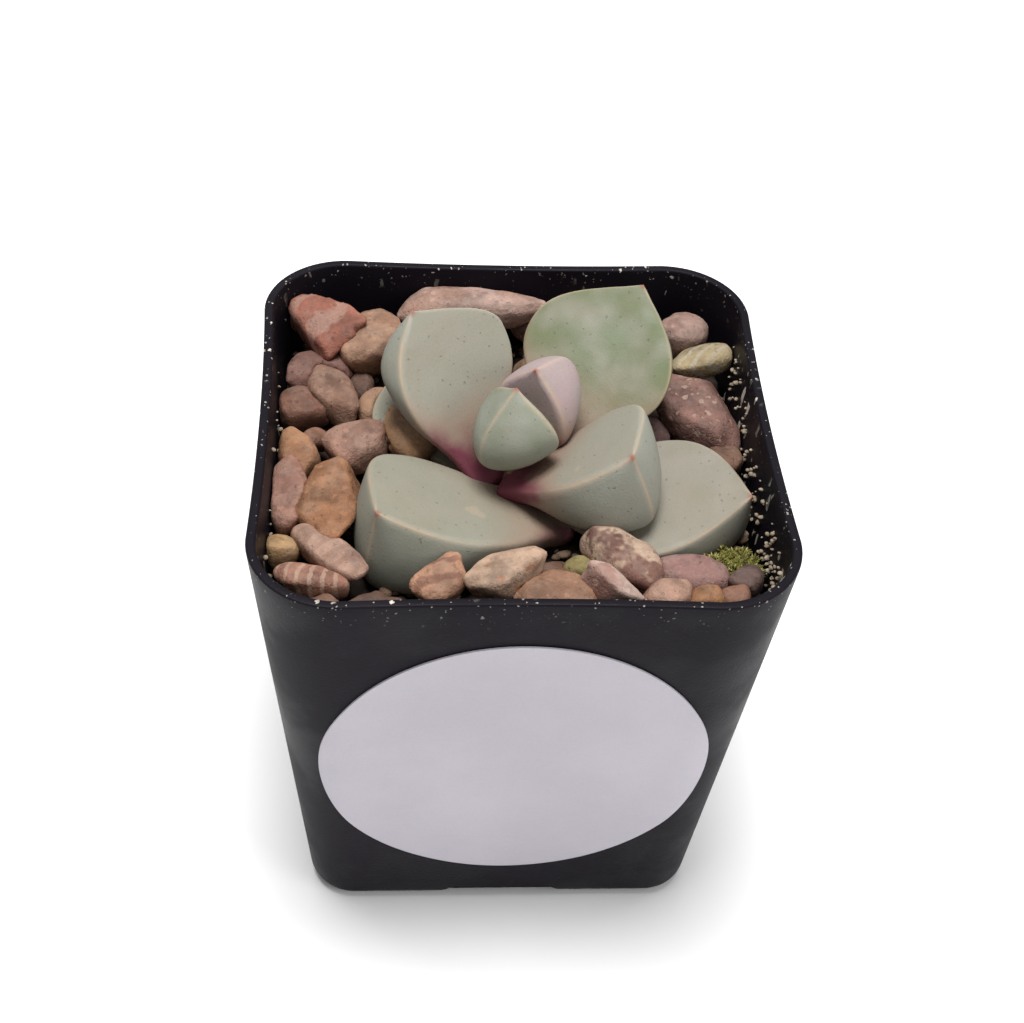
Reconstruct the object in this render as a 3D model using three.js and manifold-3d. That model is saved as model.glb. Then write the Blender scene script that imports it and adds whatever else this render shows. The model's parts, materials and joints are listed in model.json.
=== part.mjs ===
// Split rock succulent in a square nursery pot, bedded in river gravel.
// Millimetres, +Z up. Origin at the middle of the pot's foot, front of the pot towards -Y.
import * as THREE from 'three';
import { mergeVertices } from 'three/addons/utils/BufferGeometryUtils.js';
import Module from 'manifold-3d';

const wasm = await Module();
wasm.setup();

// ---------------------------------------------------------------- driving dimensions
const GAP = 0.3;            // clearance between pieces that touch
const RIM_HALF = 32;        // half the pot's width across the rim
const FOOT_HALF = 25.8;     // half the pot's width at the foot
const POT_HEIGHT = 65;
const WALL = 1.2;
const RIM_CORNER = 10.7;    // plan radius of the corners at the rim
const FOOT_CORNER = 6;      // plan radius of the corners at the foot
const FOOT_ROUND = 2.2;     // rounded edge round the underside
const WAIST = 0.5;          // how far the walls draw in at mid-side, at the rim
const RIM_ROUND = 0.3;      // softened outer edge of the rim
const FLOOR_UNDER = 2.2;    // underside of the floor, above the feet
const FLOOR_TOP = 3.8;
const NOTCH_LOW = 19;       // channel between the feet, width at the ground
const NOTCH_HIGH = 14;      // and width at the floor
const DRAIN_RADIUS = 3;
const DRAIN_REACH = 15;     // from the middle to each outer drain hole
const SOIL_TOP = 53.2;
const LABEL_WIDE = 48.2;
const LABEL_TALL = 49;
const LABEL_THICK = 0.25;
const LABEL_HEIGHT = 33.1;  // height of the label's middle
const LARGE_STONE = 6.5;    // stones longer than this get the finer mesh
const STEM_RADIUS = 2.6;
const STEM_FOOT = 44;

const CORNER_STEPS = 6;
const SIDE_STEPS = 4;

// ---------------------------------------------------------------- mesh and solid helpers
function meshGeometry(points, faces) {
  const geometry = new THREE.BufferGeometry();
  geometry.setAttribute('position', new THREE.Float32BufferAttribute(points.flat(), 3));
  geometry.setIndex(faces.flat());
  return geometry;
}

// Closed skin over a stack of rings with the same number of points, each end closed by a fan.
function loft(rings) {
  const count = rings[0].length;
  const points = rings.flat();
  const faces = [];
  for (let level = 0; level < rings.length - 1; level += 1) {
    for (let i = 0; i < count; i += 1) {
      const a = level * count + i;
      const b = level * count + ((i + 1) % count);
      faces.push([a, b, b + count], [a, b + count, a + count]);
    }
  }
  const middle = (ring) => [0, 1, 2].map((k) => ring.reduce((sum, p) => sum + p[k], 0) / count);
  const top = (rings.length - 1) * count;
  points.push(middle(rings[0]), middle(rings.at(-1)));
  for (let i = 0; i < count; i += 1) {
    const next = (i + 1) % count;
    faces.push([points.length - 2, next, i], [points.length - 1, top + i, top + next]);
  }
  return meshGeometry(points, faces);
}

// Positions only, shared vertices merged, and triangles that have shrunk to a line left out.
function welded(geometry) {
  const bare = geometry.clone();
  bare.deleteAttribute('normal');
  bare.deleteAttribute('uv');
  const merged = mergeVertices(bare, 1e-4);
  const kept = [];
  for (let i = 0; i < merged.index.count; i += 3) {
    const face = [0, 1, 2].map((k) => merged.index.getX(i + k));
    if (new Set(face).size === 3) kept.push(...face);
  }
  merged.setIndex(kept);
  return merged;
}

function solid(geometry) {
  const merged = welded(geometry);
  return new wasm.Manifold(new wasm.Mesh({
    numProp: 3,
    vertProperties: new Float32Array(merged.attributes.position.array),
    triVerts: new Uint32Array(merged.index.array),
  }));
}

function geometryOf(body) {
  const mesh = body.getMesh();
  const geometry = new THREE.BufferGeometry();
  geometry.setAttribute('position', new THREE.BufferAttribute(mesh.vertProperties, 3));
  geometry.setIndex(new THREE.BufferAttribute(mesh.triVerts, 1));
  return geometry;
}

// The same shape with its skin moved out by the clearance.
function grown(geometry, by = GAP) {
  const bigger = welded(geometry);
  bigger.computeVertexNormals();
  const place = bigger.attributes.position;
  const normal = bigger.attributes.normal;
  for (let i = 0; i < place.count; i += 1) {
    place.setXYZ(i, place.getX(i) + by * normal.getX(i),
      place.getY(i) + by * normal.getY(i), place.getZ(i) + by * normal.getZ(i));
  }
  return solid(bigger);
}

function largestPiece(body) {
  return body.decompose().reduce((best, piece) => (piece.volume() > best.volume() ? piece : best));
}

function boxesMeet(a, b) {
  return [0, 1, 2].every((k) => a.min[k] < b.max[k] && b.min[k] < a.max[k]);
}

// Takes the grown shapes in `obstacles` out of a body, where they reach it.
function clearOf(body, obstacles) {
  const near = obstacles.filter((other) => boxesMeet(body.boundingBox(), other.boundingBox()));
  return near.length ? largestPiece(near.reduce((rest, other) => rest.subtract(other), body)) : body;
}

function named(name, geometry, look) {
  const mesh = new THREE.Mesh(geometry, new THREE.MeshStandardMaterial(look));
  mesh.name = name;
  return mesh;
}

// ---------------------------------------------------------------- pot
// Plan outline of a rounded square at height z; `bow` draws the sides in at their middle.
function squareRing(half, corner, z, bow = 0) {
  const ring = [];
  for (let side = 0; side < 4; side += 1) {
    const turn = side * Math.PI / 2;
    const place = (x, y) => ring.push([
      x * Math.cos(turn) - y * Math.sin(turn), x * Math.sin(turn) + y * Math.cos(turn), z]);
    const straight = half - corner;
    for (let i = 1; i < SIDE_STEPS; i += 1) {
      const along = -1 + 2 * i / SIDE_STEPS;
      place(half - bow * (1 - along * along), along * straight);
    }
    for (let i = 0; i <= CORNER_STEPS; i += 1) {
      const angle = (i / CORNER_STEPS) * Math.PI / 2;
      place(straight + corner * Math.cos(angle), straight + corner * Math.sin(angle));
    }
  }
  return ring;
}

// Ring of the pot's tapered wall at height z, moved in by `inset`.
function wallRing(z, inset = 0) {
  const rise = z / POT_HEIGHT;
  const half = FOOT_HALF + (RIM_HALF - FOOT_HALF) * rise;
  const corner = FOOT_CORNER + (RIM_CORNER - FOOT_CORNER) * rise;
  return squareRing(half - inset, Math.max(corner - inset, 1), z, WAIST * rise);
}

function potShell() {
  const rings = [];
  for (let i = 0; i <= 3; i += 1) {
    const angle = (i / 3) * Math.PI / 2;
    rings.push(wallRing(FOOT_ROUND * (1 - Math.cos(angle)), FOOT_ROUND * (1 - Math.sin(angle))));
  }
  rings.push(wallRing(POT_HEIGHT / 2));
  rings.push(wallRing(POT_HEIGHT - RIM_ROUND));
  rings.push(wallRing(POT_HEIGHT, RIM_ROUND));
  return solid(loft(rings));
}

function potCavity(inset, low, high) {
  return solid(loft([wallRing(low, WALL + inset + 1), wallRing(low + 1.5, WALL + inset),
    wallRing(high, WALL + inset)]));
}

// Trapezoid channel under the floor from wall to wall.
function footChannel(turn) {
  const outline = new THREE.Shape([
    new THREE.Vector2(-NOTCH_LOW / 2, -1), new THREE.Vector2(NOTCH_LOW / 2, -1),
    new THREE.Vector2(NOTCH_LOW / 2, 0), new THREE.Vector2(NOTCH_HIGH / 2, FLOOR_UNDER),
    new THREE.Vector2(-NOTCH_HIGH / 2, FLOOR_UNDER), new THREE.Vector2(-NOTCH_LOW / 2, 0)]);
  const length = 2 * RIM_HALF;
  const geometry = new THREE.ExtrudeGeometry(outline, { depth: length, bevelEnabled: false });
  geometry.translate(0, 0, -length / 2).rotateX(Math.PI / 2).rotateZ(turn);
  return solid(geometry);
}

function drainHoles() {
  const places = [[0, 0], [1, 0], [0, 1], [-1, 0], [0, -1]];
  return places.map(([x, y]) => {
    const hole = new THREE.CylinderGeometry(DRAIN_RADIUS, DRAIN_RADIUS, 10, 20);
    hole.rotateX(Math.PI / 2).translate(x * DRAIN_REACH, y * DRAIN_REACH, FLOOR_TOP);
    return solid(hole);
  });
}

function makePot() {
  let body = potShell().subtract(potCavity(0, FLOOR_TOP, POT_HEIGHT + 1));
  for (const cut of [footChannel(0), footChannel(Math.PI / 2), ...drainHoles()]) {
    body = body.subtract(cut);
  }
  return body;
}

// Blank oval label lying on the front wall.
function makeLabel() {
  const oval = new THREE.Shape();
  oval.absellipse(0, 0, LABEL_WIDE / 2, LABEL_TALL / 2, 0, 2 * Math.PI);
  const geometry = new THREE.ExtrudeGeometry(oval, {
    depth: LABEL_THICK, bevelEnabled: false, curveSegments: 24 });
  const rise = LABEL_HEIGHT / POT_HEIGHT;
  const lean = Math.atan((RIM_HALF - FOOT_HALF) / POT_HEIGHT);
  const wallY = -(FOOT_HALF + (RIM_HALF - FOOT_HALF) * rise);
  geometry.rotateX(Math.PI / 2 + lean);
  geometry.translate(0, wallY - GAP, LABEL_HEIGHT);
  return geometry;
}

// ---------------------------------------------------------------- leaves
// A leaf is a boat: a flat upper face between two margins, and a keel below that rises in a
// curved bow to the tip. Margins and keel are ribs of one form: a narrow neck, a shoulder
// at a fraction of the length, and a straight run from the shoulder to the tip.

function rib(length, neck, shoulder, reach, corner) {
  const at = shoulder * length;
  const rest = length - at;
  const lower = new THREE.CubicBezierCurve(
    new THREE.Vector2(0, neck), new THREE.Vector2(0.55 * at, neck),
    new THREE.Vector2(0.55 * at, reach), new THREE.Vector2(at, reach));
  const upper = new THREE.CubicBezierCurve(
    new THREE.Vector2(at, reach), new THREE.Vector2(at + corner * rest, reach),
    new THREE.Vector2(at + (0.45 + 0.55 * corner) * rest, 0.55 * reach),
    new THREE.Vector2(length, 0));
  return [...lower.getPoints(6), ...upper.getPoints(8).slice(1)];
}

// Points on one flank, from the margin to the keel, full below the neck and tight at the tip.
function flank(margin, keel, middle, fullness, steps) {
  const half = margin.clone().add(keel).multiplyScalar(0.5);
  const corner = margin.clone().add(keel).sub(middle);
  const bend = half.clone().lerp(corner, fullness);
  const curve = new THREE.QuadraticBezierCurve3(margin, bend, keel);
  return curve.getPoints(steps);
}

function leafGeometry(leaf) {
  const foot = new THREE.Vector3(...leaf.foot);
  const ahead = new THREE.Vector3(...leaf.tip).sub(foot);
  const length = ahead.length();
  ahead.normalize();
  const faces = new THREE.Vector3(...leaf.faces);
  const up = faces.addScaledVector(ahead, -faces.dot(ahead)).normalize();
  const left = up.clone().cross(ahead);
  const place = (along, across, height) => foot.clone().addScaledVector(ahead, along)
    .addScaledVector(left, across).addScaledVector(up, height);
  const [wide, deep] = leaf.neck;
  const leftRib = rib(length, wide, ...leaf.left, 0.45);
  const rightRib = rib(length, wide, ...leaf.right, 0.45);
  const keelRib = rib(length, deep, ...leaf.keel, 0.55);
  const last = leftRib.length - 1;
  const rings = leftRib.slice(0, -1).map((l, i) => {
    const marginLeft = place(l.x, l.y, 0);
    const marginRight = place(rightRib[i].x, -rightRib[i].y, 0);
    const keel = place(keelRib[i].x, 0, -keelRib[i].y);
    const middle = marginLeft.clone().lerp(marginRight, 0.5);
    const fullness = 0.85 - 0.4 * i / last;
    const ring = [
      ...flank(marginLeft, keel, middle, fullness, 4).slice(0, -1),
      ...flank(marginRight, keel, middle, fullness, 4).reverse(),
    ];
    for (const share of [0.75, 0.5, 0.25]) {
      ring.push(marginLeft.clone().lerp(marginRight, share));
    }
    return ring.reverse().map((p) => [p.x, p.y, p.z]);
  });
  const tip = rings.at(-1).map(() => leaf.tip);
  return loft([...rings, tip]);
}

// foot, tip: where the upper face starts and ends. faces: the way the upper face looks.
// left, right, keel: where the rib is widest (fraction of the length) and its reach there.
// neck: half the width, and the depth, at the foot.
const LEAVES = [
  { name: 'leaf_centre_front', foot: [2.6, -1.4, 61], tip: [-0.6, -2.9, 72.2],
    faces: [0.73, 0.61, 0.3], left: [0.57, 6.3], right: [0.56, 5.7], keel: [0.44, 8],
    neck: [2.4, 3] },
  { name: 'leaf_centre_back', foot: [2.1, -1.6, 60.5], tip: [1.7, -0.3, 72.8],
    faces: [-0.5, -0.7, -0.1], left: [0.48, 5.7], right: [0.3, 4.6], keel: [0.72, 8],
    neck: [2.4, 3] },
  { name: 'leaf_upright_left', foot: [-1.8, -3.9, 57.5], tip: [-13.1, 10.5, 73],
    faces: [0.41, -0.5, 0.76], left: [0.55, 6.5], right: [0.74, 11.7], keel: [0.91, 7],
    neck: [3.6, 3.4] },
  { name: 'leaf_upright_right', foot: [-1.1, -4, 58.9], tip: [12.6, -12.5, 70],
    faces: [-0.52, 0.24, 0.82], left: [0.685, 11.8], right: [0.46, 4.3], keel: [0.83, 10],
    neck: [3.4, 3.6] },
  { name: 'leaf_spread_front', foot: [4.9, -6.6, 55.5], tip: [-17.2, -17.5, 65.5],
    faces: [0.33, 0.21, 0.92], left: [0.485, 6.5], right: [0.69, 12.4], keel: [0.857, 11],
    neck: [5, 4.2] },
  { name: 'leaf_spread_back', foot: [4.2, 0.9, 59.9], tip: [16.8, 18.1, 72],
    faces: [-0.21, -0.46, 0.86], left: [0.56, 10.9], right: [0.47, 10], keel: [0.75, 6],
    neck: [5, 3.6] },
  { name: 'leaf_low_right', foot: [3.9, -4.7, 55.5], tip: [28.3, -10.5, 61.9],
    faces: [-0.26, -0.03, 0.97], left: [0.58, 10.4], right: [0.44, 9.8], keel: [0.9, 6.9],
    neck: [4, 3.4] },
  { name: 'leaf_low_left', foot: [-4, 0, 56], tip: [-13, 16.5, 61],
    faces: [0.12, -0.23, 0.97], left: [0.55, 9.5], right: [0.55, 9.5], keel: [0.8, 5.5],
    neck: [4, 3.4] },
];
const LEAF_LOOK = { color: 0x9fae97, roughness: 0.6, metalness: 0 };

// ---------------------------------------------------------------- stem and moss
function makeStem() {
  const profile = [[0, STEM_FOOT], [0.6, STEM_FOOT + 0.5], [STEM_RADIUS * 0.7, STEM_FOOT + 6],
    [STEM_RADIUS, SOIL_TOP - 1], [STEM_RADIUS * 1.15, 57], [STEM_RADIUS * 0.8, 59.5], [0, 60]];
  const geometry = new THREE.LatheGeometry(profile.map(([x, y]) => new THREE.Vector2(x, y)), 16);
  return geometry.rotateX(Math.PI / 2).translate(1, -3.2, 0);
}

// Low cushion of moss in the front right corner.
function makeMoss() {
  const geometry = new THREE.IcosahedronGeometry(1, 3);
  const place = geometry.attributes.position;
  for (let i = 0; i < place.count; i += 1) {
    const p = new THREE.Vector3().fromBufferAttribute(place, i);
    const swell = 1 + 0.12 * Math.sin(4.3 * p.x + 1) * Math.sin(3.7 * p.y) + 0.08 * Math.sin(6 * p.z);
    place.setXYZ(i, p.x * 4.2 * swell + 25.2, p.y * 3.4 * swell - 17.6, p.z * 2.2 * swell + 56.4);
  }
  return geometry;
}

// ---------------------------------------------------------------- gravel
// A stone is a rounded polyhedron: a ring of side facets between a top and a bottom facet.
// at: middle. size: length, width, thickness. turn: of its length from +X, in degrees.
// pitch: lift of its +X end, in degrees. sides: number of side facets. edge: 5 is well worn,
// 12 is sharp. seed: sets how far the facets wander.
const STONE_COLOURS = {
  pink: 0xb49083, tan: 0xb8987e, amber: 0xb78c62, brown: 0x9f826e, dark: 0x756054,
};
const STONES = [
  { name: 'stone_rose_wedge', kind: 'pink', at: [-25.4, 23.6, 60.6], size: [13, 8, 5],
    turn: -40, sides: 3, edge: 11, seed: 3 },
  { name: 'stone_dark_red', kind: 'dark', at: [-25, 16.5, 57.6], size: [10, 6.5, 5],
    turn: 35, sides: 5, edge: 8, seed: 8 },
  { name: 'stone_tan_upright', kind: 'tan', at: [-18, 21, 59], size: [11, 8, 6.5],
    turn: 78, sides: 6, edge: 5, seed: 5 },
  { name: 'stone_tan_back', kind: 'tan', at: [-4.5, 27.4, 60.8], size: [20, 6.5, 4.6],
    turn: -3, sides: 6, edge: 5, seed: 2 },
  { name: 'stone_brown_left', kind: 'brown', at: [-26.4, 9.5, 57.4], size: [6.8, 6.2, 5],
    turn: 0, sides: 5, edge: 6, seed: 9 },
  { name: 'stone_brown_slope', kind: 'brown', at: [-23, 11.8, 58], size: [10.5, 5.6, 5],
    turn: -68, pitch: 8, sides: 5, edge: 7, seed: 12 },
  { name: 'stone_dark_gap', kind: 'dark', at: [-19.6, 16, 56.6], size: [6.4, 3.6, 3.4],
    turn: -69, sides: 5, edge: 6, seed: 15 },
  { name: 'stone_small_tan', kind: 'tan', at: [-17.4, 10.8, 57], size: [6.6, 4.4, 3.6],
    turn: 53, sides: 6, edge: 6, seed: 18 },
  { name: 'stone_ochre_long', kind: 'amber', at: [-13.8, 5, 57.6], size: [10.2, 5.2, 4.6],
    turn: -61, sides: 5, edge: 7, seed: 21 },
  { name: 'stone_pink_tan', kind: 'pink', at: [-19.6, 2.6, 57.6], size: [9, 6.4, 4.8],
    turn: 10, sides: 5, edge: 7, seed: 24 },
  { name: 'stone_chip_brown', kind: 'brown', at: [-24.6, 4.4, 57], size: [3.8, 3.4, 3],
    turn: 0, sides: 5, edge: 6, seed: 27 },
  { name: 'stone_orange_left', kind: 'amber', at: [-27.2, 0.8, 57.6], size: [8.2, 5.2, 4.8],
    turn: -60, sides: 5, edge: 6, seed: 30 },
  { name: 'stone_pink_left', kind: 'pink', at: [-27.8, -7.4, 58], size: [12, 5.2, 5],
    turn: 88, sides: 6, edge: 5, seed: 33 },
  { name: 'stone_amber_slab', kind: 'amber', at: [-23, -9.4, 58.6], size: [14, 7.4, 5.4],
    turn: 82, sides: 5, edge: 11, seed: 36 },
  { name: 'stone_yellow_bead', kind: 'amber', at: [-28.2, -16.2, 58], size: [4.2, 4, 3.6],
    turn: 0, sides: 6, edge: 4, seed: 39 },
  { name: 'stone_pink_slant', kind: 'pink', at: [-22.8, -17.4, 58.6], size: [11.6, 4.6, 4],
    turn: -46, sides: 6, edge: 5, seed: 42 },
  { name: 'stone_striped_left', kind: 'tan', at: [-24.6, -21.6, 58.4], size: [8.6, 4.8, 4.2],
    turn: -13, sides: 5, edge: 6, seed: 45 },
  { name: 'stone_striped_front', kind: 'tan', at: [-9.6, -23.4, 59.8], size: [7.4, 4.4, 4.4],
    turn: 42, sides: 4, edge: 7, seed: 48 },
  { name: 'stone_pale_spotted', kind: 'tan', at: [-2.2, -22.2, 59.9], size: [10.2, 5.8, 5.2],
    turn: 22, sides: 5, edge: 7, seed: 51 },
  { name: 'stone_tan_front', kind: 'tan', at: [3.6, -24, 58.4], size: [10, 6, 4.6],
    turn: -4, sides: 5, edge: 9, seed: 54 },
  { name: 'stone_green_chip', kind: 'amber', at: [7, -18.6, 57.6], size: [4, 3, 2.8],
    turn: -14, sides: 6, edge: 5, seed: 57 },
  { name: 'stone_dark_chip', kind: 'dark', at: [3.8, -19, 56.6], size: [4.6, 3.6, 3.2],
    turn: 20, sides: 5, edge: 6, seed: 60 },
  { name: 'stone_white_block', kind: 'pink', at: [10, -25, 60.4], size: [7.4, 5.4, 5],
    turn: -72, sides: 4, edge: 11, seed: 63 },
  { name: 'stone_cream_patched', kind: 'brown', at: [12, -18.8, 59.2], size: [12.4, 5.6, 4.8],
    turn: -50, sides: 6, edge: 6, seed: 66 },
  { name: 'stone_pink_long', kind: 'pink', at: [19.4, -20.6, 58.2], size: [10.4, 4.6, 4.4],
    turn: -12, sides: 6, edge: 5, seed: 69 },
  { name: 'stone_tan_small', kind: 'tan', at: [16.2, -25.6, 59.8], size: [7, 4.4, 3.8],
    turn: 12, sides: 5, edge: 7, seed: 72 },
  { name: 'stone_ochre_small', kind: 'amber', at: [21, -25.6, 59.4], size: [4.6, 3.8, 3.4],
    turn: -21, sides: 6, edge: 5, seed: 75 },
  { name: 'stone_brown_small', kind: 'brown', at: [24.4, -25, 59], size: [4.2, 3.2, 3],
    turn: 10, sides: 5, edge: 6, seed: 78 },
  { name: 'stone_slate_corner', kind: 'dark', at: [26.2, -22, 58.6], size: [4.6, 3.6, 3.2],
    turn: 60, sides: 5, edge: 7, seed: 81 },
  { name: 'stone_pink_back', kind: 'pink', at: [24.2, 24, 58.8], size: [6.8, 6, 5],
    turn: 0, sides: 6, edge: 5, seed: 84 },
  { name: 'stone_yellow_back', kind: 'amber', at: [25.6, 18.6, 58.8], size: [9.4, 4.6, 4],
    turn: 19, sides: 5, edge: 8, seed: 87 },
  { name: 'stone_mottled_large', kind: 'brown', at: [24.6, 9.2, 57.6], size: [15, 10, 7],
    turn: -58, pitch: 4, sides: 5, edge: 9, seed: 90 },
  { name: 'stone_purple_gap', kind: 'dark', at: [18.4, 6.2, 55.8], size: [6, 4.4, 4],
    turn: -74, sides: 5, edge: 6, seed: 93 },
  { name: 'stone_pink_gap', kind: 'pink', at: [3.4, 27, 57.8], size: [5.4, 4.6, 4],
    turn: 0, sides: 5, edge: 6, seed: 96 },
  { name: 'stone_under_back', kind: 'tan', at: [12, 26.4, 57.6], size: [9, 6, 5],
    turn: 8, sides: 6, edge: 6, seed: 99 },
  { name: 'stone_under_corner', kind: 'brown', at: [18.4, 27, 57.2], size: [5.6, 5, 4.4],
    turn: 30, sides: 5, edge: 7, seed: 102 },
  { name: 'stone_under_middle', kind: 'tan', at: [5.4, 17.8, 56.6], size: [10, 7, 4.6],
    turn: -35, sides: 6, edge: 6, seed: 105 },
  { name: 'stone_under_left', kind: 'tan', at: [-11.4, 24, 57.4], size: [6.6, 5, 4.6],
    turn: -20, sides: 5, edge: 7, seed: 108 },
  { name: 'stone_under_slope', kind: 'brown', at: [12, 9.4, 55.8], size: [8, 6, 4],
    turn: 25, sides: 5, edge: 7, seed: 111 },
  { name: 'stone_right_low', kind: 'brown', at: [27, 0.8, 56.6], size: [7, 4.6, 4.4],
    turn: 80, sides: 5, edge: 6, seed: 114 },
  { name: 'stone_front_dark', kind: 'dark', at: [-17.6, -26.2, 57.2], size: [8, 4.6, 4.4],
    turn: 5, sides: 5, edge: 7, seed: 117 },
  { name: 'stone_corner_left', kind: 'brown', at: [-23, -26, 57], size: [5.6, 4.6, 4.2],
    turn: -30, sides: 5, edge: 6, seed: 120 },
];

function stoneLook(stone) {
  return { color: STONE_COLOURS[stone.kind], roughness: 0.75, metalness: 0 };
}

// Repeatable value from -1 to 1.
function wander(seed, step) {
  const wave = Math.sin(seed * 12.9898 + step * 78.233) * 43758.5453;
  return 2 * (wave - Math.floor(wave)) - 1;
}

function facetsOf(stone) {
  const facets = [];
  for (let i = 0; i < stone.sides; i += 1) {
    const angle = (2 * Math.PI * (i + 0.32 * wander(stone.seed, i))) / stone.sides;
    const tilt = 0.35 * wander(stone.seed, i + 20);
    const normal = new THREE.Vector3(Math.cos(angle), Math.sin(angle), tilt).normalize();
    facets.push({ normal, reach: 0.84 + 0.1 * wander(stone.seed, i + 40) });
  }
  for (const way of [1, -1]) {
    const lean = [0.3 * wander(stone.seed, 60 + way), 0.3 * wander(stone.seed, 70 + way)];
    facets.push({ normal: new THREE.Vector3(...lean, way).normalize(), reach: 0.88 });
  }
  return facets;
}

// Rounded polyhedron about the origin, stretched to exactly the stone's size.
function stoneForm(stone) {
  const facets = facetsOf(stone);
  const fineness = stone.size[0] > LARGE_STONE ? 2 : 1;
  const geometry = welded(new THREE.IcosahedronGeometry(1, fineness));
  const place = geometry.attributes.position;
  for (let i = 0; i < place.count; i += 1) {
    const way = new THREE.Vector3().fromBufferAttribute(place, i).normalize();
    const press = facets.reduce((sum, facet) => (
      sum + Math.max(0, way.dot(facet.normal) / facet.reach) ** stone.edge), 0);
    way.multiplyScalar(press ** (-1 / stone.edge));
    place.setXYZ(i, way.x, way.y, way.z);
  }
  geometry.center();
  geometry.computeBoundingBox();
  const span = geometry.boundingBox.getSize(new THREE.Vector3());
  const [length, width, thickness] = stone.size;
  return geometry.scale(length / span.x, width / span.y, thickness / span.z);
}

function stoneGeometry(stone) {
  const pitch = THREE.MathUtils.degToRad(stone.pitch ?? 0);
  const turn = THREE.MathUtils.degToRad(stone.turn);
  return stoneForm(stone).rotateY(-pitch).rotateZ(turn).translate(...stone.at);
}

// ---------------------------------------------------------------- assembly
// Leaves are placed from the centre out, each clear of those inside it; then the stones from
// the highest down, clear of leaves, wall and each other; the soil is cut to what sits in it.
function makePlantAndGravel() {
  const pieces = [];
  const placed = [];
  const inside = potCavity(GAP, FLOOR_TOP + GAP, POT_HEIGHT + 20);
  const put = (name, geometry, look) => {
    const body = clearOf(solid(geometry).intersect(inside), placed);
    pieces.push(named(name, geometryOf(body), look));
    placed.push(grown(geometry));
  };
  LEAVES.forEach((leaf) => put(leaf.name, leafGeometry(leaf), LEAF_LOOK));
  put('stem', makeStem(), { color: 0x8a6a52, roughness: 0.8, metalness: 0 });
  [...STONES].sort((a, b) => b.at[2] - a.at[2]).forEach((stone) => {
    put(stone.name, stoneGeometry(stone), stoneLook(stone));
  });
  put('moss', makeMoss(), { color: 0x7d8434, roughness: 1, metalness: 0 });
  const soil = clearOf(potCavity(GAP, FLOOR_TOP + GAP, SOIL_TOP), placed);
  pieces.push(named('soil', geometryOf(soil), { color: 0x2e251f, roughness: 1, metalness: 0 }));
  return pieces;
}

const model = new THREE.Group();
model.add(named('pot', geometryOf(makePot()), { color: 0x1d1a1e, roughness: 0.5, metalness: 0 }));
model.add(named('label', makeLabel(), { color: 0xd9d6da, roughness: 0.75, metalness: 0 }));
makePlantAndGravel().forEach((piece) => model.add(piece));

export default model;
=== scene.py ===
"""Looks of a potted split rock: a small succulent bedded in river gravel in a square pot."""
import json
import logging
import math
import random
from dataclasses import dataclass, field
from enum import Enum
from typing import ClassVar

import bmesh
import bpy
import numpy as np
from mathutils import Matrix, Vector, noise


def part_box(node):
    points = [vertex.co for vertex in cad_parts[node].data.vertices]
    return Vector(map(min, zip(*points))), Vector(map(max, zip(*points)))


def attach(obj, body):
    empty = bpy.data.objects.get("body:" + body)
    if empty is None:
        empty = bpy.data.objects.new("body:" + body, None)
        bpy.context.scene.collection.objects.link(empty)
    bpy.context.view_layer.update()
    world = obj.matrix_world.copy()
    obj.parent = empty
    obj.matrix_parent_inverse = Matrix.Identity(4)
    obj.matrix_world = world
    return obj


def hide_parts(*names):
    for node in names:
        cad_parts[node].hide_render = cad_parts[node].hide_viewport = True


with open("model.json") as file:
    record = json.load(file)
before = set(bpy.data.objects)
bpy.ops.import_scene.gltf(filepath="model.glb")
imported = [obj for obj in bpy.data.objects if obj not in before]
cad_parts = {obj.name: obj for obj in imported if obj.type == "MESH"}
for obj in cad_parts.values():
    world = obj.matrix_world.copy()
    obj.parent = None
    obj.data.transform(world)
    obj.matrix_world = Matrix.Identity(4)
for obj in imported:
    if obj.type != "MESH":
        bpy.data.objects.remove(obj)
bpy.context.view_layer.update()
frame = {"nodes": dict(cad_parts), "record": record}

MM = 0.001
ROOT = "root"

Colour = tuple[float, float, float]
Point = tuple[float, float, float]
log = logging.getLogger("split_rock")


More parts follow.
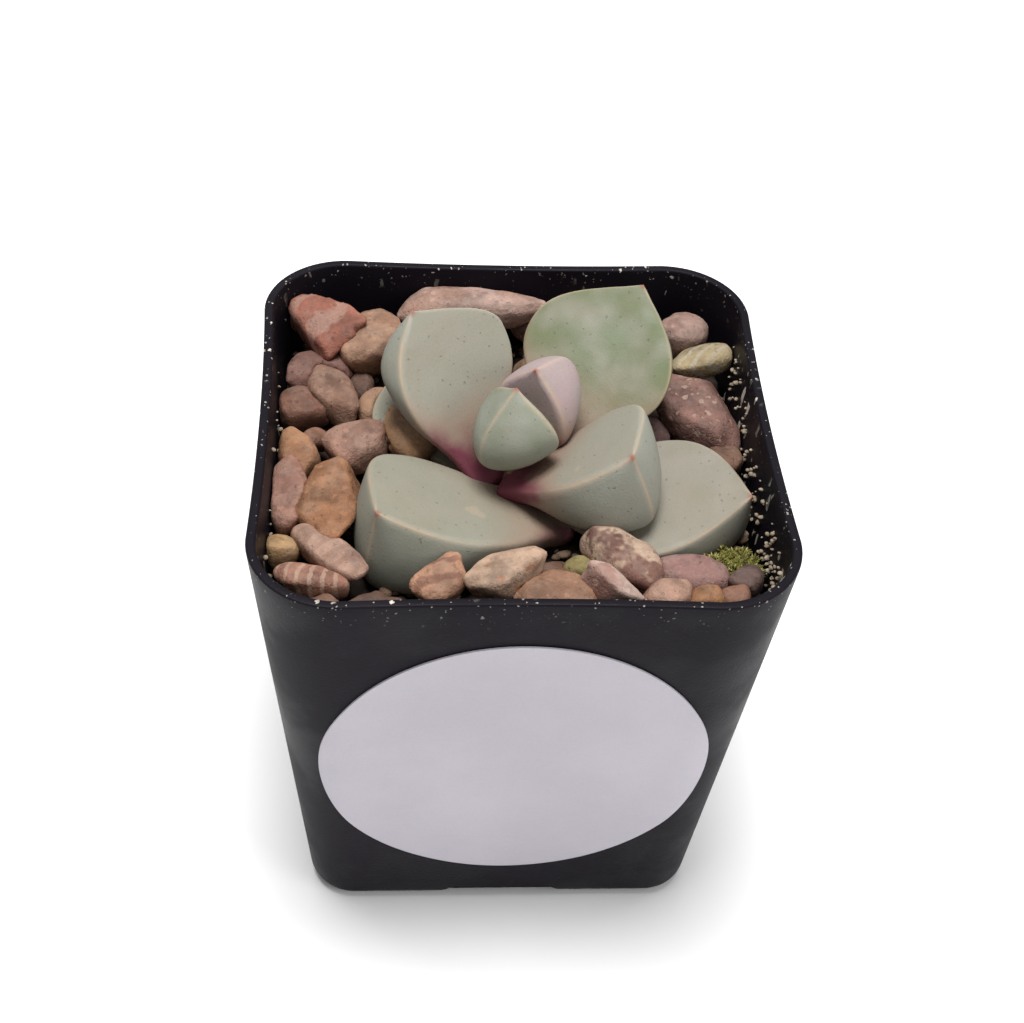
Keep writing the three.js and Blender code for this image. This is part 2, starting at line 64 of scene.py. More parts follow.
# ------------------------------------------------------------------ node trees
class Graph:
    """A node tree with short ways to add nodes and join them."""

    def __init__(self, tree: bpy.types.NodeTree) -> None:
        """Wrap a node tree.

        Args:
            tree: the tree that nodes are added to.
        """
        self.tree = tree

    def add(self, kind: str, inputs: dict | None = None, **settings: object) -> bpy.types.Node:
        """Add one node.

        Args:
            kind: the node's type name.
            inputs: socket name or number to a value or to another node's output.
            settings: attributes to set on the node.

        Returns:
            The new node.
        """
        node = self.tree.nodes.new(kind)
        for name, value in settings.items():
            setattr(node, name, value)
        for name, value in (inputs or {}).items():
            self.feed(node.inputs[name], value)
        return node

    def feed(self, socket: bpy.types.NodeSocket, value: object) -> None:
        """Join an output to a socket, or set the socket's own value.

        Args:
            socket: the input to feed.
            value: a node output, a number, a colour or a vector.
        """
        if isinstance(value, bpy.types.NodeSocket):
            self.tree.links.new(value, socket)
        elif socket.type == "RGBA" and len(value) == 3:
            socket.default_value = (*value, 1.0)
        else:
            socket.default_value = value

    def math(self, operation: str, first: object, second: object = 0.0) -> bpy.types.NodeSocket:
        """Return the output of a Math node with the given operation."""
        node = self.add("ShaderNodeMath", {0: first, 1: second}, operation=operation)
        return node.outputs[0]

    def mix(self, share: object, first: object, second: object,
            blend: str = "MIX") -> bpy.types.NodeSocket:
        """Mix two colours.

        Args:
            share: how much of the second colour, 0 to 1.
            first: colour where share is 0.
            second: colour where share is 1.
            blend: the mix node's blend type.

        Returns:
            The mixed colour.
        """
        node = self.add("ShaderNodeMix", data_type="RGBA", blend_type=blend)
        self.feed(node.inputs["Factor"], share)
        self.feed(node.inputs[6], first)
        self.feed(node.inputs[7], second)
        return node.outputs[2]

    def spread(self, value: object, low: float, high: float,
               to_low: float = 0.0, to_high: float = 1.0) -> bpy.types.NodeSocket:
        """Map a value from one range to another, smoothly and clamped.

        Args:
            value: what to map.
            low: value that gives to_low.
            high: value that gives to_high.
            to_low: result at or below low.
            to_high: result at or above high.

        Returns:
            The mapped value.
        """
        node = self.add("ShaderNodeMapRange", {
            "Value": value, "From Min": low, "From Max": high, "To Min": to_low,
            "To Max": to_high}, interpolation_type="SMOOTHSTEP")
        return node.outputs["Result"]

    def noise(self, vector: object, scale: object, detail: float = 4.0,
              roughness: float = 0.55) -> bpy.types.NodeSocket:
        """Add a noise texture.

        Args:
            vector: where it is read.
            scale: cells per metre.
            detail: number of layers.
            roughness: strength of the finer layers.

        Returns:
            Its value, about 0 to 1.
        """
        node = self.add("ShaderNodeTexNoise", {
            "Vector": vector, "Scale": scale, "Detail": detail, "Roughness": roughness})
        return node.outputs[0]

    def attribute(self, name: str) -> bpy.types.NodeSocket:
        """Return a number stored on the mesh's points."""
        return self.add("ShaderNodeAttribute", attribute_name=name).outputs["Fac"]

    def place(self) -> bpy.types.NodeSocket:
        """Return the point's place on the object, in metres."""
        return self.add("ShaderNodeTexCoord").outputs["Object"]

    def use(self, group: bpy.types.NodeTree, inputs: dict) -> bpy.types.Node:
        """Place a node group.

        Args:
            group: the group to place.
            inputs: socket name to value or output.

        Returns:
            The group's node.
        """
        node = self.add("ShaderNodeGroup")
        node.node_tree = group
        for name, value in inputs.items():
            self.feed(node.inputs[name], value)
        return node


class Effects:
    """The shared surface effects, each a node group built once."""

    def __init__(self) -> None:
        """Build every group."""
        self.mottle = self._mottle()
        self.flecks = self._flecks()
        self.streaks = self._streaks()
        self.settled = self._settled()

    @staticmethod
    def _group(name: str, inputs: dict[str, tuple[str, object]],
               outputs: dict[str, str]) -> tuple[Graph, bpy.types.Node, bpy.types.Node]:
        """Start a node group with named sockets.

        Args:
            name: the group's name.
            inputs: socket name to its type and default value.
            outputs: socket name to its type.

        Returns:
            The group's graph, its input node and its output node.
        """
        tree = bpy.data.node_groups.new(name, "ShaderNodeTree")
        for title, (kind, value) in inputs.items():
            socket = tree.interface.new_socket(title, in_out="INPUT", socket_type=kind)
            if value is not None:
                socket.default_value = value
        for title, kind in outputs.items():
            tree.interface.new_socket(title, in_out="OUTPUT", socket_type=kind)
        graph = Graph(tree)
        return graph, graph.add("NodeGroupInput"), graph.add("NodeGroupOutput")

    def _mottle(self) -> bpy.types.NodeTree:
        """Build soft clouds at one scale and a fine grain at a much smaller one.

        Returns:
            The group.
        """
        graph, source, result = self._group(
            "mottle",
            {"Vector": ("NodeSocketVector", None), "Scale": ("NodeSocketFloat", 200.0),
             "Grain Scale": ("NodeSocketFloat", 2500.0)},
            {"Clouds": "NodeSocketFloat", "Grain": "NodeSocketFloat"})
        clouds = graph.noise(source.outputs["Vector"], source.outputs["Scale"], 5.0, 0.6)
        grain = graph.noise(source.outputs["Vector"], source.outputs["Grain Scale"], 3.0, 0.7)
        graph.feed(result.inputs["Clouds"], graph.spread(clouds, 0.32, 0.68))
        graph.feed(result.inputs["Grain"], graph.spread(grain, 0.25, 0.75))
        return graph.tree

    def _flecks(self) -> bpy.types.NodeTree:
        """Build small uneven spots, one in some of the cells of a lattice.

        Returns:
            The group.
        """
        graph, source, result = self._group(
            "flecks",
            {"Vector": ("NodeSocketVector", None), "Scale": ("NodeSocketFloat", 600.0),
             "Share": ("NodeSocketFloat", 0.2), "Size": ("NodeSocketFloat", 0.25)},
            {"Mask": "NodeSocketFloat"})
        vector = source.outputs["Vector"]
        bend = graph.add("ShaderNodeTexNoise", {
            "Vector": vector, "Scale": graph.math("MULTIPLY", source.outputs["Scale"], 1.7),
            "Detail": 2.0})
        shift = graph.add("ShaderNodeVectorMath", {0: bend.outputs["Color"], 1: (0.5, 0.5, 0.5)},
                          operation="SUBTRACT")
        reach = graph.math("DIVIDE", 0.9, source.outputs["Scale"])
        push = graph.add("ShaderNodeVectorMath", {0: shift.outputs[0], "Scale": reach},
                         operation="SCALE")
        moved = graph.add("ShaderNodeVectorMath", {0: vector, 1: push.outputs[0]}, operation="ADD")
        cells = graph.add("ShaderNodeTexVoronoi", {
            "Vector": moved.outputs[0], "Scale": source.outputs["Scale"]}, feature="F1")
        pick = graph.add("ShaderNodeSeparateColor", {0: cells.outputs["Color"]})
        chosen = graph.math("LESS_THAN", pick.outputs[0], source.outputs["Share"])
        radius = graph.math("MULTIPLY", source.outputs["Size"],
                            graph.math("ADD", pick.outputs[1], 0.35))
        inside = graph.math("SUBTRACT", radius, cells.outputs["Distance"])
        soft = graph.spread(inside, 0.0, 0.08)
        graph.feed(result.inputs["Mask"], graph.math("MULTIPLY", chosen, soft))
        return graph.tree

    def _streaks(self) -> bpy.types.NodeTree:
        """Build bands across one direction, bent by noise.

        Returns:
            The group.
        """
        graph, source, result = self._group(
            "streaks",
            {"Vector": ("NodeSocketVector", None), "Scale": ("NodeSocketFloat", 150.0),
             "Bend": ("NodeSocketFloat", 4.0), "Tilt": ("NodeSocketFloat", 0.6)},
            {"Mask": "NodeSocketFloat"})
        turned = graph.add("ShaderNodeVectorRotate", {
            "Vector": source.outputs["Vector"], "Angle": source.outputs["Tilt"],
            "Axis": (0.3, 0.5, 0.8)})
        waves = graph.add("ShaderNodeTexWave", {
            "Vector": turned.outputs[0], "Scale": source.outputs["Scale"],
            "Distortion": source.outputs["Bend"], "Detail": 3.0, "Detail Scale": 2.0})
        graph.feed(result.inputs["Mask"], graph.spread(waves.outputs["Fac"], 0.55, 0.9))
        return graph.tree

    def _settled(self) -> bpy.types.NodeTree:
        """Build patches of settled dust, mostly on upward faces.

        Returns:
            The group.
        """
        graph, source, result = self._group(
            "settled",
            {"Vector": ("NodeSocketVector", None), "Scale": ("NodeSocketFloat", 90.0),
             "Amount": ("NodeSocketFloat", 0.5)},
            {"Mask": "NodeSocketFloat"})
        facing = graph.add("ShaderNodeSeparateXYZ", {
            0: graph.add("ShaderNodeNewGeometry").outputs["Normal"]})
        upward = graph.spread(facing.outputs[2], -0.4, 1.0, 0.25, 1.0)
        patch = graph.noise(source.outputs["Vector"], source.outputs["Scale"], 6.0, 0.65)
        shown = graph.math("MULTIPLY", graph.spread(patch, 0.42, 0.7), upward)
        graph.feed(result.inputs["Mask"],
                   graph.math("MULTIPLY", shown, source.outputs["Amount"]))
        return graph.tree


def start_material(name: str) -> tuple[bpy.types.Material, Graph, bpy.types.Node]:
    """Make an empty node material.

    Args:
        name: the material's name.

    Returns:
        The material, its graph and its Principled shader.
    """
    material = bpy.data.materials.new(name)
    material.use_nodes = True
    material.node_tree.nodes.clear()
    graph = Graph(material.node_tree)
    shader = graph.add("ShaderNodeBsdfPrincipled")
    graph.add("ShaderNodeOutputMaterial", {"Surface": shader.outputs[0]})
    return material, graph, shader


def add_bump(graph: Graph, shader: bpy.types.Node, height: bpy.types.NodeSocket,
             depth: float, strength: float = 1.0) -> None:
    """Roughen a shader's surface.

    Args:
        graph: the material's graph.
        shader: the shader to roughen.
        height: height of the surface, 0 to 1.
        depth: what a height of 1 means, in metres.
        strength: how much of the effect shows.
    """
    bump = graph.add("ShaderNodeBump", {
        "Height": height, "Distance": depth, "Strength": strength})
    graph.feed(shader.inputs["Normal"], bump.outputs[0])


# ------------------------------------------------------------------ meshes
def make_piece(name: str, points: np.ndarray, faces: list[tuple[int, ...]],
               material: bpy.types.Material) -> bpy.types.Object:
    """Make a smooth mesh object from points in metres.

    Args:
        name: the piece's name.
        points: one row a point.
        faces: point numbers of each face.
        material: its finish.

    Returns:
        The new object, linked to the scene.
    """
    mesh = bpy.data.meshes.new(name)
    mesh.from_pydata([tuple(p) for p in points], [], faces)
    mesh.update()
    mesh.shade_smooth()
    mesh.materials.append(material)
    piece = bpy.data.objects.new(name, mesh)
    bpy.context.scene.collection.objects.link(piece)
    return piece


def store(piece: bpy.types.Object, name: str, values: np.ndarray) -> None:
    """Store one number a point on a mesh.

    Args:
        piece: the mesh object.
        name: the attribute's name, which its material reads.
        values: one number for each point.
    """
    layer = piece.data.attributes.new(name, "FLOAT", "POINT")
    layer.data.foreach_set("value", np.asarray(values, np.float32))


def stand_in(piece: bpy.types.Object, slot: str, *nodes: str) -> None:
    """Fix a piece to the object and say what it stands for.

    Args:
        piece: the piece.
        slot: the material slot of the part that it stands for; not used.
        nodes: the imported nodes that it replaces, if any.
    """
    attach(piece, ROOT)
    if nodes:
        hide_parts(*nodes)
    log.info("%s: %d faces, in place of %s", piece.name, len(piece.data.polygons),
             ", ".join(nodes) or "nothing")


def bridge(count: int, levels: int, closed: bool = True) -> list[tuple[int, ...]]:
    """List the four-sided faces between stacked rings of points.

    Args:
        count: points in each ring.
        levels: number of rings.
        closed: whether each ring joins up with its own start.

    Returns:
        The faces, facing out where rings run anticlockwise seen from the last one.
    """
    around = range(count if closed else count - 1)
    return [(level * count + i, level * count + (i + 1) % count,
             (level + 1) * count + (i + 1) % count, (level + 1) * count + i)
            for level in range(levels - 1) for i in around]


def evaluated_copy(source: bpy.types.Object, name: str) -> bpy.types.Mesh:
    """Apply a temporary object's modifiers and remove the object.

    Args:
        source: the temporary object.
        name: the new mesh's name.

    Returns:
        The new mesh.
    """
    bpy.context.view_layer.update()
    graph = bpy.context.evaluated_depsgraph_get()
    mesh = bpy.data.meshes.new_from_object(source.evaluated_get(graph))
    mesh.name = name
    bpy.data.objects.remove(source)
    return mesh


def mesh_points(mesh: bpy.types.Mesh) -> np.ndarray:
    """Read a mesh's points.

    Args:
        mesh: the mesh.

    Returns:
        One row a point.
    """
    flat = np.empty(len(mesh.vertices) * 3, np.float32)
    mesh.vertices.foreach_get("co", flat)
    return flat.reshape(-1, 3).astype(float)


def mesh_normals(mesh: bpy.types.Mesh) -> np.ndarray:
    """Read a mesh's point normals.

    Args:
        mesh: the mesh.

    Returns:
        One row a point.
    """
    flat = np.empty(len(mesh.vertices) * 3, np.float32)
    mesh.vertices.foreach_get("normal", flat)
    return flat.reshape(-1, 3).astype(float)


def rough_field(points: np.ndarray, scale: float, octaves: int, seed: float) -> np.ndarray:
    """Return fractal noise at each point.

    Args:
        points: one row a point, in metres.
        scale: cells per metre.
        octaves: number of layers, each twice as fine as the last.
        seed: moves the noise.

    Returns:
        Values of about -1 to 1.
    """
    shift = Vector((seed, 1.7 * seed, -2.3 * seed))
    return np.array([noise.fractal(Vector(p) * scale + shift, 0.9, 2.1, octaves)
                     for p in points])


# ------------------------------------------------------------------ finishes
def chart(red: float, green: float, blue: float, depth: float = 1.0) -> Colour:
    """Turn a paint-chart colour, 0 to 255 a channel, into a shader colour.

    Args:
        red: red, 0 to 255.
        green: green, 0 to 255.
        blue: blue, 0 to 255.
        depth: multiplies the result, to lighten or darken.

    Returns:
        The linear colour.
    """
    return tuple(min(depth * (((c / 255) + 0.055) / 1.055) ** 2.4, 1.0)
                 for c in (red, green, blue))


@dataclass(frozen=True)
class PotPlastic:
    """Matt black moulded plastic with dried lime on its rim, dust on its walls and painted shade
    inside, where the dust film is kept thin.
    """

    black: Colour = (0.0065, 0.005, 0.0085)
    dusty: Colour = (0.02, 0.016, 0.022)
    lime: Colour = (0.62, 0.57, 0.5)
    sheen: float = 0.1

    def make(self, effects: Effects) -> bpy.types.Material:
        """Build the material.

        Args:
            effects: the shared surface effects.

        Returns:
            The material, which reads the attributes rim, inside and spatter.
        """
        material, graph, shader = start_material("pot_plastic")
        place = graph.place()
        mottle = graph.use(effects.mottle, {"Vector": place, "Scale": 70.0, "Grain Scale": 2600.0})
        dust = graph.use(effects.settled, {"Vector": place, "Scale": 60.0, "Amount": 0.8})
        fine = graph.use(effects.flecks, {"Vector": place, "Scale": 2000.0, "Share": 0.3,
                                          "Size": 0.26})
        specks = graph.use(effects.flecks, {"Vector": place, "Scale": 1100.0, "Share": 0.14,
                                            "Size": 0.3})
        long_place = graph.add("ShaderNodeVectorMath", {0: place, 1: (1.0, 1.0, 0.45)},
                               operation="MULTIPLY").outputs[0]
        crust = graph.use(effects.flecks, {"Vector": long_place, "Scale": 640.0, "Share": 0.3,
                                           "Size": 0.36})
        rim, inside = graph.attribute("rim"), graph.attribute("inside")
        cluster = graph.spread(graph.noise(place, 150.0, 3.0), 0.42, 0.6)
        spatter = graph.math("MULTIPLY", graph.attribute("spatter"), cluster)
        crusted = graph.math("MULTIPLY", crust.outputs[0], spatter)
        speckled = graph.math("MULTIPLY", graph.math("MULTIPLY", specks.outputs[0], rim), cluster)
        powder = graph.math("MULTIPLY", graph.math("MULTIPLY", fine.outputs[0], rim), 0.5)
        limed = graph.math("MAXIMUM", graph.math("MAXIMUM", crusted, speckled), powder)
        film = graph.math("MULTIPLY", dust.outputs[0],
                          graph.spread(mottle.outputs["Clouds"], 0.0, 1.0, 0.25, 0.9))
        # The dust film is kept thin on the inside walls so that the inside stays darker: painted
        # shade in the pot's hollow.
        film = graph.math("MULTIPLY", film, graph.spread(inside, 0.0, 1.0, 0.6, 0.12))
        body = graph.mix(film, self.black, self.dusty)
        graph.feed(shader.inputs["Base Color"], graph.mix(limed, body, self.lime))
        rough = graph.spread(mottle.outputs["Clouds"], 0.0, 1.0, 0.42, 0.58)
        graph.feed(shader.inputs["Roughness"], graph.math("MAXIMUM", rough, limed))
        shader.inputs["Specular IOR Level"].default_value = self.sheen
        height = graph.math("ADD", graph.math("MULTIPLY", mottle.outputs["Grain"], 0.12), limed)
        add_bump(graph, shader, height, 0.12 * MM)
        return material


@dataclass(frozen=True)
class LabelPaper:
    """Plain white label stock, slightly lilac, with a faint fibre."""

    paper: Colour = (0.53, 0.5, 0.55)
    shade: Colour = (0.43, 0.405, 0.45)

    def make(self, effects: Effects) -> bpy.types.Material:
        """Build the material.

        Args:
            effects: the shared surface effects.

        Returns:
            The material.
        """
        material, graph, shader = start_material("label_paper")
        place = graph.place()
        mottle = graph.use(effects.mottle, {"Vector": place, "Scale": 45.0, "Grain Scale": 3500.0})
        fibre = graph.add("ShaderNodeVectorMath", {0: place, 1: (1.0, 1.0, 5.0)},
                          operation="MULTIPLY").outputs[0]
        laid = graph.noise(fibre, 700.0, 3.0)
        tone = graph.math("ADD", graph.math("MULTIPLY", mottle.outputs["Clouds"], 0.45),
                          graph.math("MULTIPLY", mottle.outputs["Grain"], 0.3))
        graph.feed(shader.inputs["Base Color"], graph.mix(tone, self.paper, self.shade))
        graph.feed(shader.inputs["Roughness"], graph.spread(laid, 0.3, 0.7, 0.5, 0.66))
        shader.inputs["Specular IOR Level"].default_value = 0.3
        add_bump(graph, shader, laid, 0.02 * MM, 0.6)
        return material


@dataclass(frozen=True)
class LeafSkin:
    """Waxy grey-green skin with cream ridges, dark pores, a magenta flush at the base and painted
    shade on the upper faces.
    """

    # The upper colour is painted darker than the flank colour: painted shade that offsets the
    # overhead light falling on the upper faces.
    upper: Colour = chart(174, 172, 156, 0.64)
    flank: Colour = chart(160, 164, 152, 0.85)
    green: Colour = chart(112, 128, 88, 0.7)
    ridge: Colour = chart(206, 178, 150, 0.85)
    blush: Colour = chart(116, 48, 68, 0.85)
    pink: Colour = chart(162, 134, 116, 0.8)
    pore: Colour = chart(92, 96, 78, 0.8)
    rose: Colour = chart(184, 160, 164, 0.85)
    tip: Colour = chart(150, 62, 50, 0.9)

    def make(self, effects: Effects) -> bpy.types.Material:
        """Build the material.

        Args:
            effects: the shared surface effects.

        Returns:
            The material, which reads the attributes upper, ridge, flush, deep, rosy and point.
        """
        material, graph, shader = start_material("leaf_skin")
        place = graph.place()
        mottle = graph.use(effects.mottle, {"Vector": place, "Scale": 130.0, "Grain Scale": 3800.0})
        pores = graph.use(effects.flecks, {"Vector": place, "Scale": 1150.0, "Share": 0.75,
                                           "Size": 0.17})
        scars = graph.use(effects.flecks, {"Vector": place, "Scale": 170.0, "Share": 0.16,
                                           "Size": 0.2})
        # Upper faces take the darker upper colour, painted shade against the overhead light.
        skin = graph.mix(graph.attribute("upper"), self.flank, self.upper)
        skin = graph.mix(graph.attribute("rosy"), skin, self.rose)
        greener = graph.math("MULTIPLY", graph.attribute("deep"),
                             graph.spread(mottle.outputs["Clouds"], 0.0, 1.0, 0.78, 1.0))
        skin = graph.mix(greener, skin, self.green)
        cloudy = graph.math("MULTIPLY", mottle.outputs["Clouds"], 0.16)
        skin = graph.mix(cloudy, skin, self.pink)
        bloom = graph.math("MULTIPLY", mottle.outputs["Grain"], 0.12)
        skin = graph.mix(bloom, skin, self.green)
        skin = graph.mix(graph.math("MULTIPLY", pores.outputs[0], 0.5), skin, self.pore)
        skin = graph.mix(graph.math("MULTIPLY", scars.outputs[0], 0.22), skin, self.ridge)
        flush = graph.attribute("flush")
        uneven = graph.spread(graph.noise(place, 420.0, 4.0, 0.6), 0.3, 0.7, 0.9, 1.12)
        flushed = graph.math("MULTIPLY", flush, uneven)
        skin = graph.mix(graph.spread(flushed, 0.03, 0.42, 0.0, 0.7), skin, self.pink)
        skin = graph.mix(graph.spread(flushed, 0.3, 0.85, 0.0, 0.95), skin, self.blush)
        ridge = graph.math("MULTIPLY", graph.attribute("ridge"),
                           graph.spread(mottle.outputs["Clouds"], 0.0, 1.0, 0.5, 0.85))
        skin = graph.mix(ridge, skin, self.ridge)
        skin = graph.mix(graph.attribute("point"), skin, self.tip)
        graph.feed(shader.inputs["Base Color"], skin)
        graph.feed(shader.inputs["Roughness"],
                   graph.spread(mottle.outputs["Clouds"], 0.0, 1.0, 0.5, 0.64))
        shader.inputs["Specular IOR Level"].default_value = 0.32
        shader.inputs["Subsurface Weight"].default_value = 0.12
        shader.inputs["Subsurface Radius"].default_value = (0.9, 1.0, 0.5)
        shader.inputs["Subsurface Scale"].default_value = 0.9 * MM
        height = graph.math("SUBTRACT", graph.math("MULTIPLY", mottle.outputs["Grain"], 0.4),
                            graph.math("MULTIPLY", pores.outputs[0], 0.7))
        add_bump(graph, shader, height, 0.05 * MM, 0.8)
        return material


class Veins(Enum):
    """What marks a stone beyond its own colour."""

    CLOUDS = "clouds"
    BANDS = "bands"
    SPOTS = "spots"
    PATCHES = "patches"
    SPECKLES = "speckles"
    STREAK = "streak"


@dataclass(frozen=True)
class StoneFinish:
    """A river stone: worn, dull, with a chalky film and its own colour and marks."""

    colour: Colour
    second: Colour
    veins: Veins = Veins.CLOUDS
    amount: float = 0.5
    tilt: float = 0.6

    def make(self, name: str, effects: Effects) -> bpy.types.Material:
        """Build the material.

        Args:
            name: the stone's name.
            effects: the shared surface effects.

        Returns:
            The material.
        """
        material, graph, shader = start_material(name)
        place = graph.place()
        mottle = graph.use(effects.mottle, {"Vector": place, "Scale": 260.0, "Grain Scale": 2300.0})
        film = graph.use(effects.settled, {"Vector": place, "Scale": 420.0, "Amount": 0.42})
        pits = graph.use(effects.flecks, {"Vector": place, "Scale": 1300.0, "Share": 0.34,
                                          "Size": 0.3})
        grains = graph.use(effects.flecks, {"Vector": place, "Scale": 900.0, "Share": 0.25,
                                            "Size": 0.3})
        darker = tuple(0.5 * c for c in self.colour)
        lighter = tuple(min(1.0, 1.35 * c + 0.008) for c in self.colour)
        skin = graph.mix(mottle.outputs["Clouds"], darker, lighter)
        marks = graph.math("MULTIPLY", self._marks(graph, effects, place), self.amount)
        skin = graph.mix(marks, skin, self.second)
        skin = graph.mix(graph.math("MULTIPLY", mottle.outputs["Grain"], 0.35), skin, darker)
        skin = graph.mix(graph.math("MULTIPLY", grains.outputs[0], 0.45), skin, lighter)
        skin = graph.mix(graph.math("MULTIPLY", pits.outputs[0], 0.5), skin, darker)
        chalk = tuple(0.6 * c + 0.4 * g for c, g in zip(self.colour, (0.42, 0.34, 0.28)))
        skin = graph.mix(film.outputs[0], skin, chalk)
        wear = graph.spread(graph.add("ShaderNodeNewGeometry").outputs["Pointiness"], 0.5, 0.56,
                            0.0, 0.55)
        graph.feed(shader.inputs["Base Color"], graph.mix(wear, skin, lighter))
        graph.feed(shader.inputs["Roughness"],
                   graph.spread(mottle.outputs["Clouds"], 0.0, 1.0, 0.55, 0.8))
        shader.inputs["Specular IOR Level"].default_value = 0.35
        height = graph.math("SUBTRACT", mottle.outputs["Grain"],
                            graph.math("MULTIPLY", pits.outputs[0], 1.2))
        add_bump(graph, shader, height, 0.09 * MM, 0.9)
        return material

    def _marks(self, graph: Graph, effects: Effects,
               place: bpy.types.NodeSocket) -> bpy.types.NodeSocket:
        """Lay out the stone's marks.

        Args:
            graph: the material's graph.
            effects: the shared surface effects.
            place: the point's place on the stone.

        Returns:
            Where the second colour shows, 0 to 1.
        """
        if self.veins in (Veins.BANDS, Veins.STREAK):
            scale, bend = (230.0, 2.2) if self.veins is Veins.BANDS else (75.0, 5.0)
            return graph.use(effects.streaks, {"Vector": place, "Scale": scale, "Bend": bend,
                                               "Tilt": self.tilt}).outputs[0]
        if self.veins is Veins.SPOTS:
            return graph.use(effects.flecks, {"Vector": place, "Scale": 620.0, "Share": 0.5,
                                              "Size": 0.42}).outputs[0]
        if self.veins is Veins.SPECKLES:
            return graph.use(effects.flecks, {"Vector": place, "Scale": 1000.0, "Share": 0.6,
                                              "Size": 0.36}).outputs[0]
        if self.veins is Veins.PATCHES:
            turned = graph.add("ShaderNodeVectorRotate", {
                "Vector": place, "Angle": self.tilt, "Axis": (0.3, 0.5, 0.8)}).outputs[0]
            return graph.spread(graph.noise(turned, 190.0, 3.0), 0.5, 0.58)
        return graph.spread(graph.noise(place, 170.0, 5.0), 0.4, 0.65)


@dataclass(frozen=True)
class GrainFinish:
    """Loose stuff of many small grains, each with its own tone between two colours."""

    name: str
    dark: Colour
    light: Colour
    accent: Colour
    rough: float = 0.85

    def make(self, effects: Effects) -> bpy.types.Material:
        """Build the material.

        Args:
            effects: the shared surface effects.

        Returns:
            The material, which reads the attribute tone.
        """
        material, graph, shader = start_material(self.name)
        place = graph.place()
        mottle = graph.use(effects.mottle, {"Vector": place, "Scale": 700.0, "Grain Scale": 4200.0})
        flecks = graph.use(effects.flecks, {"Vector": place, "Scale": 1400.0, "Share": 0.3,
                                            "Size": 0.3})
        tone = graph.attribute("tone")
        skin = graph.mix(graph.spread(tone, 0.0, 0.8), self.dark, self.light)
        skin = graph.mix(graph.spread(tone, 0.82, 1.0), skin, self.accent)
        skin = graph.mix(graph.math("MULTIPLY", mottle.outputs["Clouds"], 0.4), skin, self.dark)
        skin = graph.mix(graph.math("MULTIPLY", flecks.outputs[0], 0.35), skin, self.light)
        graph.feed(shader.inputs["Base Color"], skin)
        graph.feed(shader.inputs["Roughness"],
                   graph.spread(mottle.outputs["Grain"], 0.0, 1.0, self.rough - 0.12, self.rough))
        shader.inputs["Specular IOR Level"].default_value = 0.25
        add_bump(graph, shader, mottle.outputs["Grain"], 0.1 * MM, 0.8)
        return material


BARK = GrainFinish("stem_bark", dark=(0.1, 0.06, 0.04), light=(0.34, 0.22, 0.14),
                   accent=(0.3, 0.2, 0.12))
SOIL = GrainFinish("potting_soil", dark=(0.012, 0.008, 0.006), light=(0.07, 0.047, 0.033),
                   accent=(0.2, 0.15, 0.11))
GRIT = GrainFinish("grit", dark=(0.045, 0.028, 0.02), light=(0.26, 0.17, 0.11),
                   accent=(0.42, 0.33, 0.26))
CRUMBS = GrainFinish("crumbs", dark=(0.08, 0.055, 0.04), light=(0.4, 0.32, 0.23),
                     accent=(0.55, 0.47, 0.36))
MOSS = GrainFinish("moss", dark=(0.04, 0.038, 0.01), light=(0.27, 0.25, 0.05),
                   accent=(0.55, 0.5, 0.2))


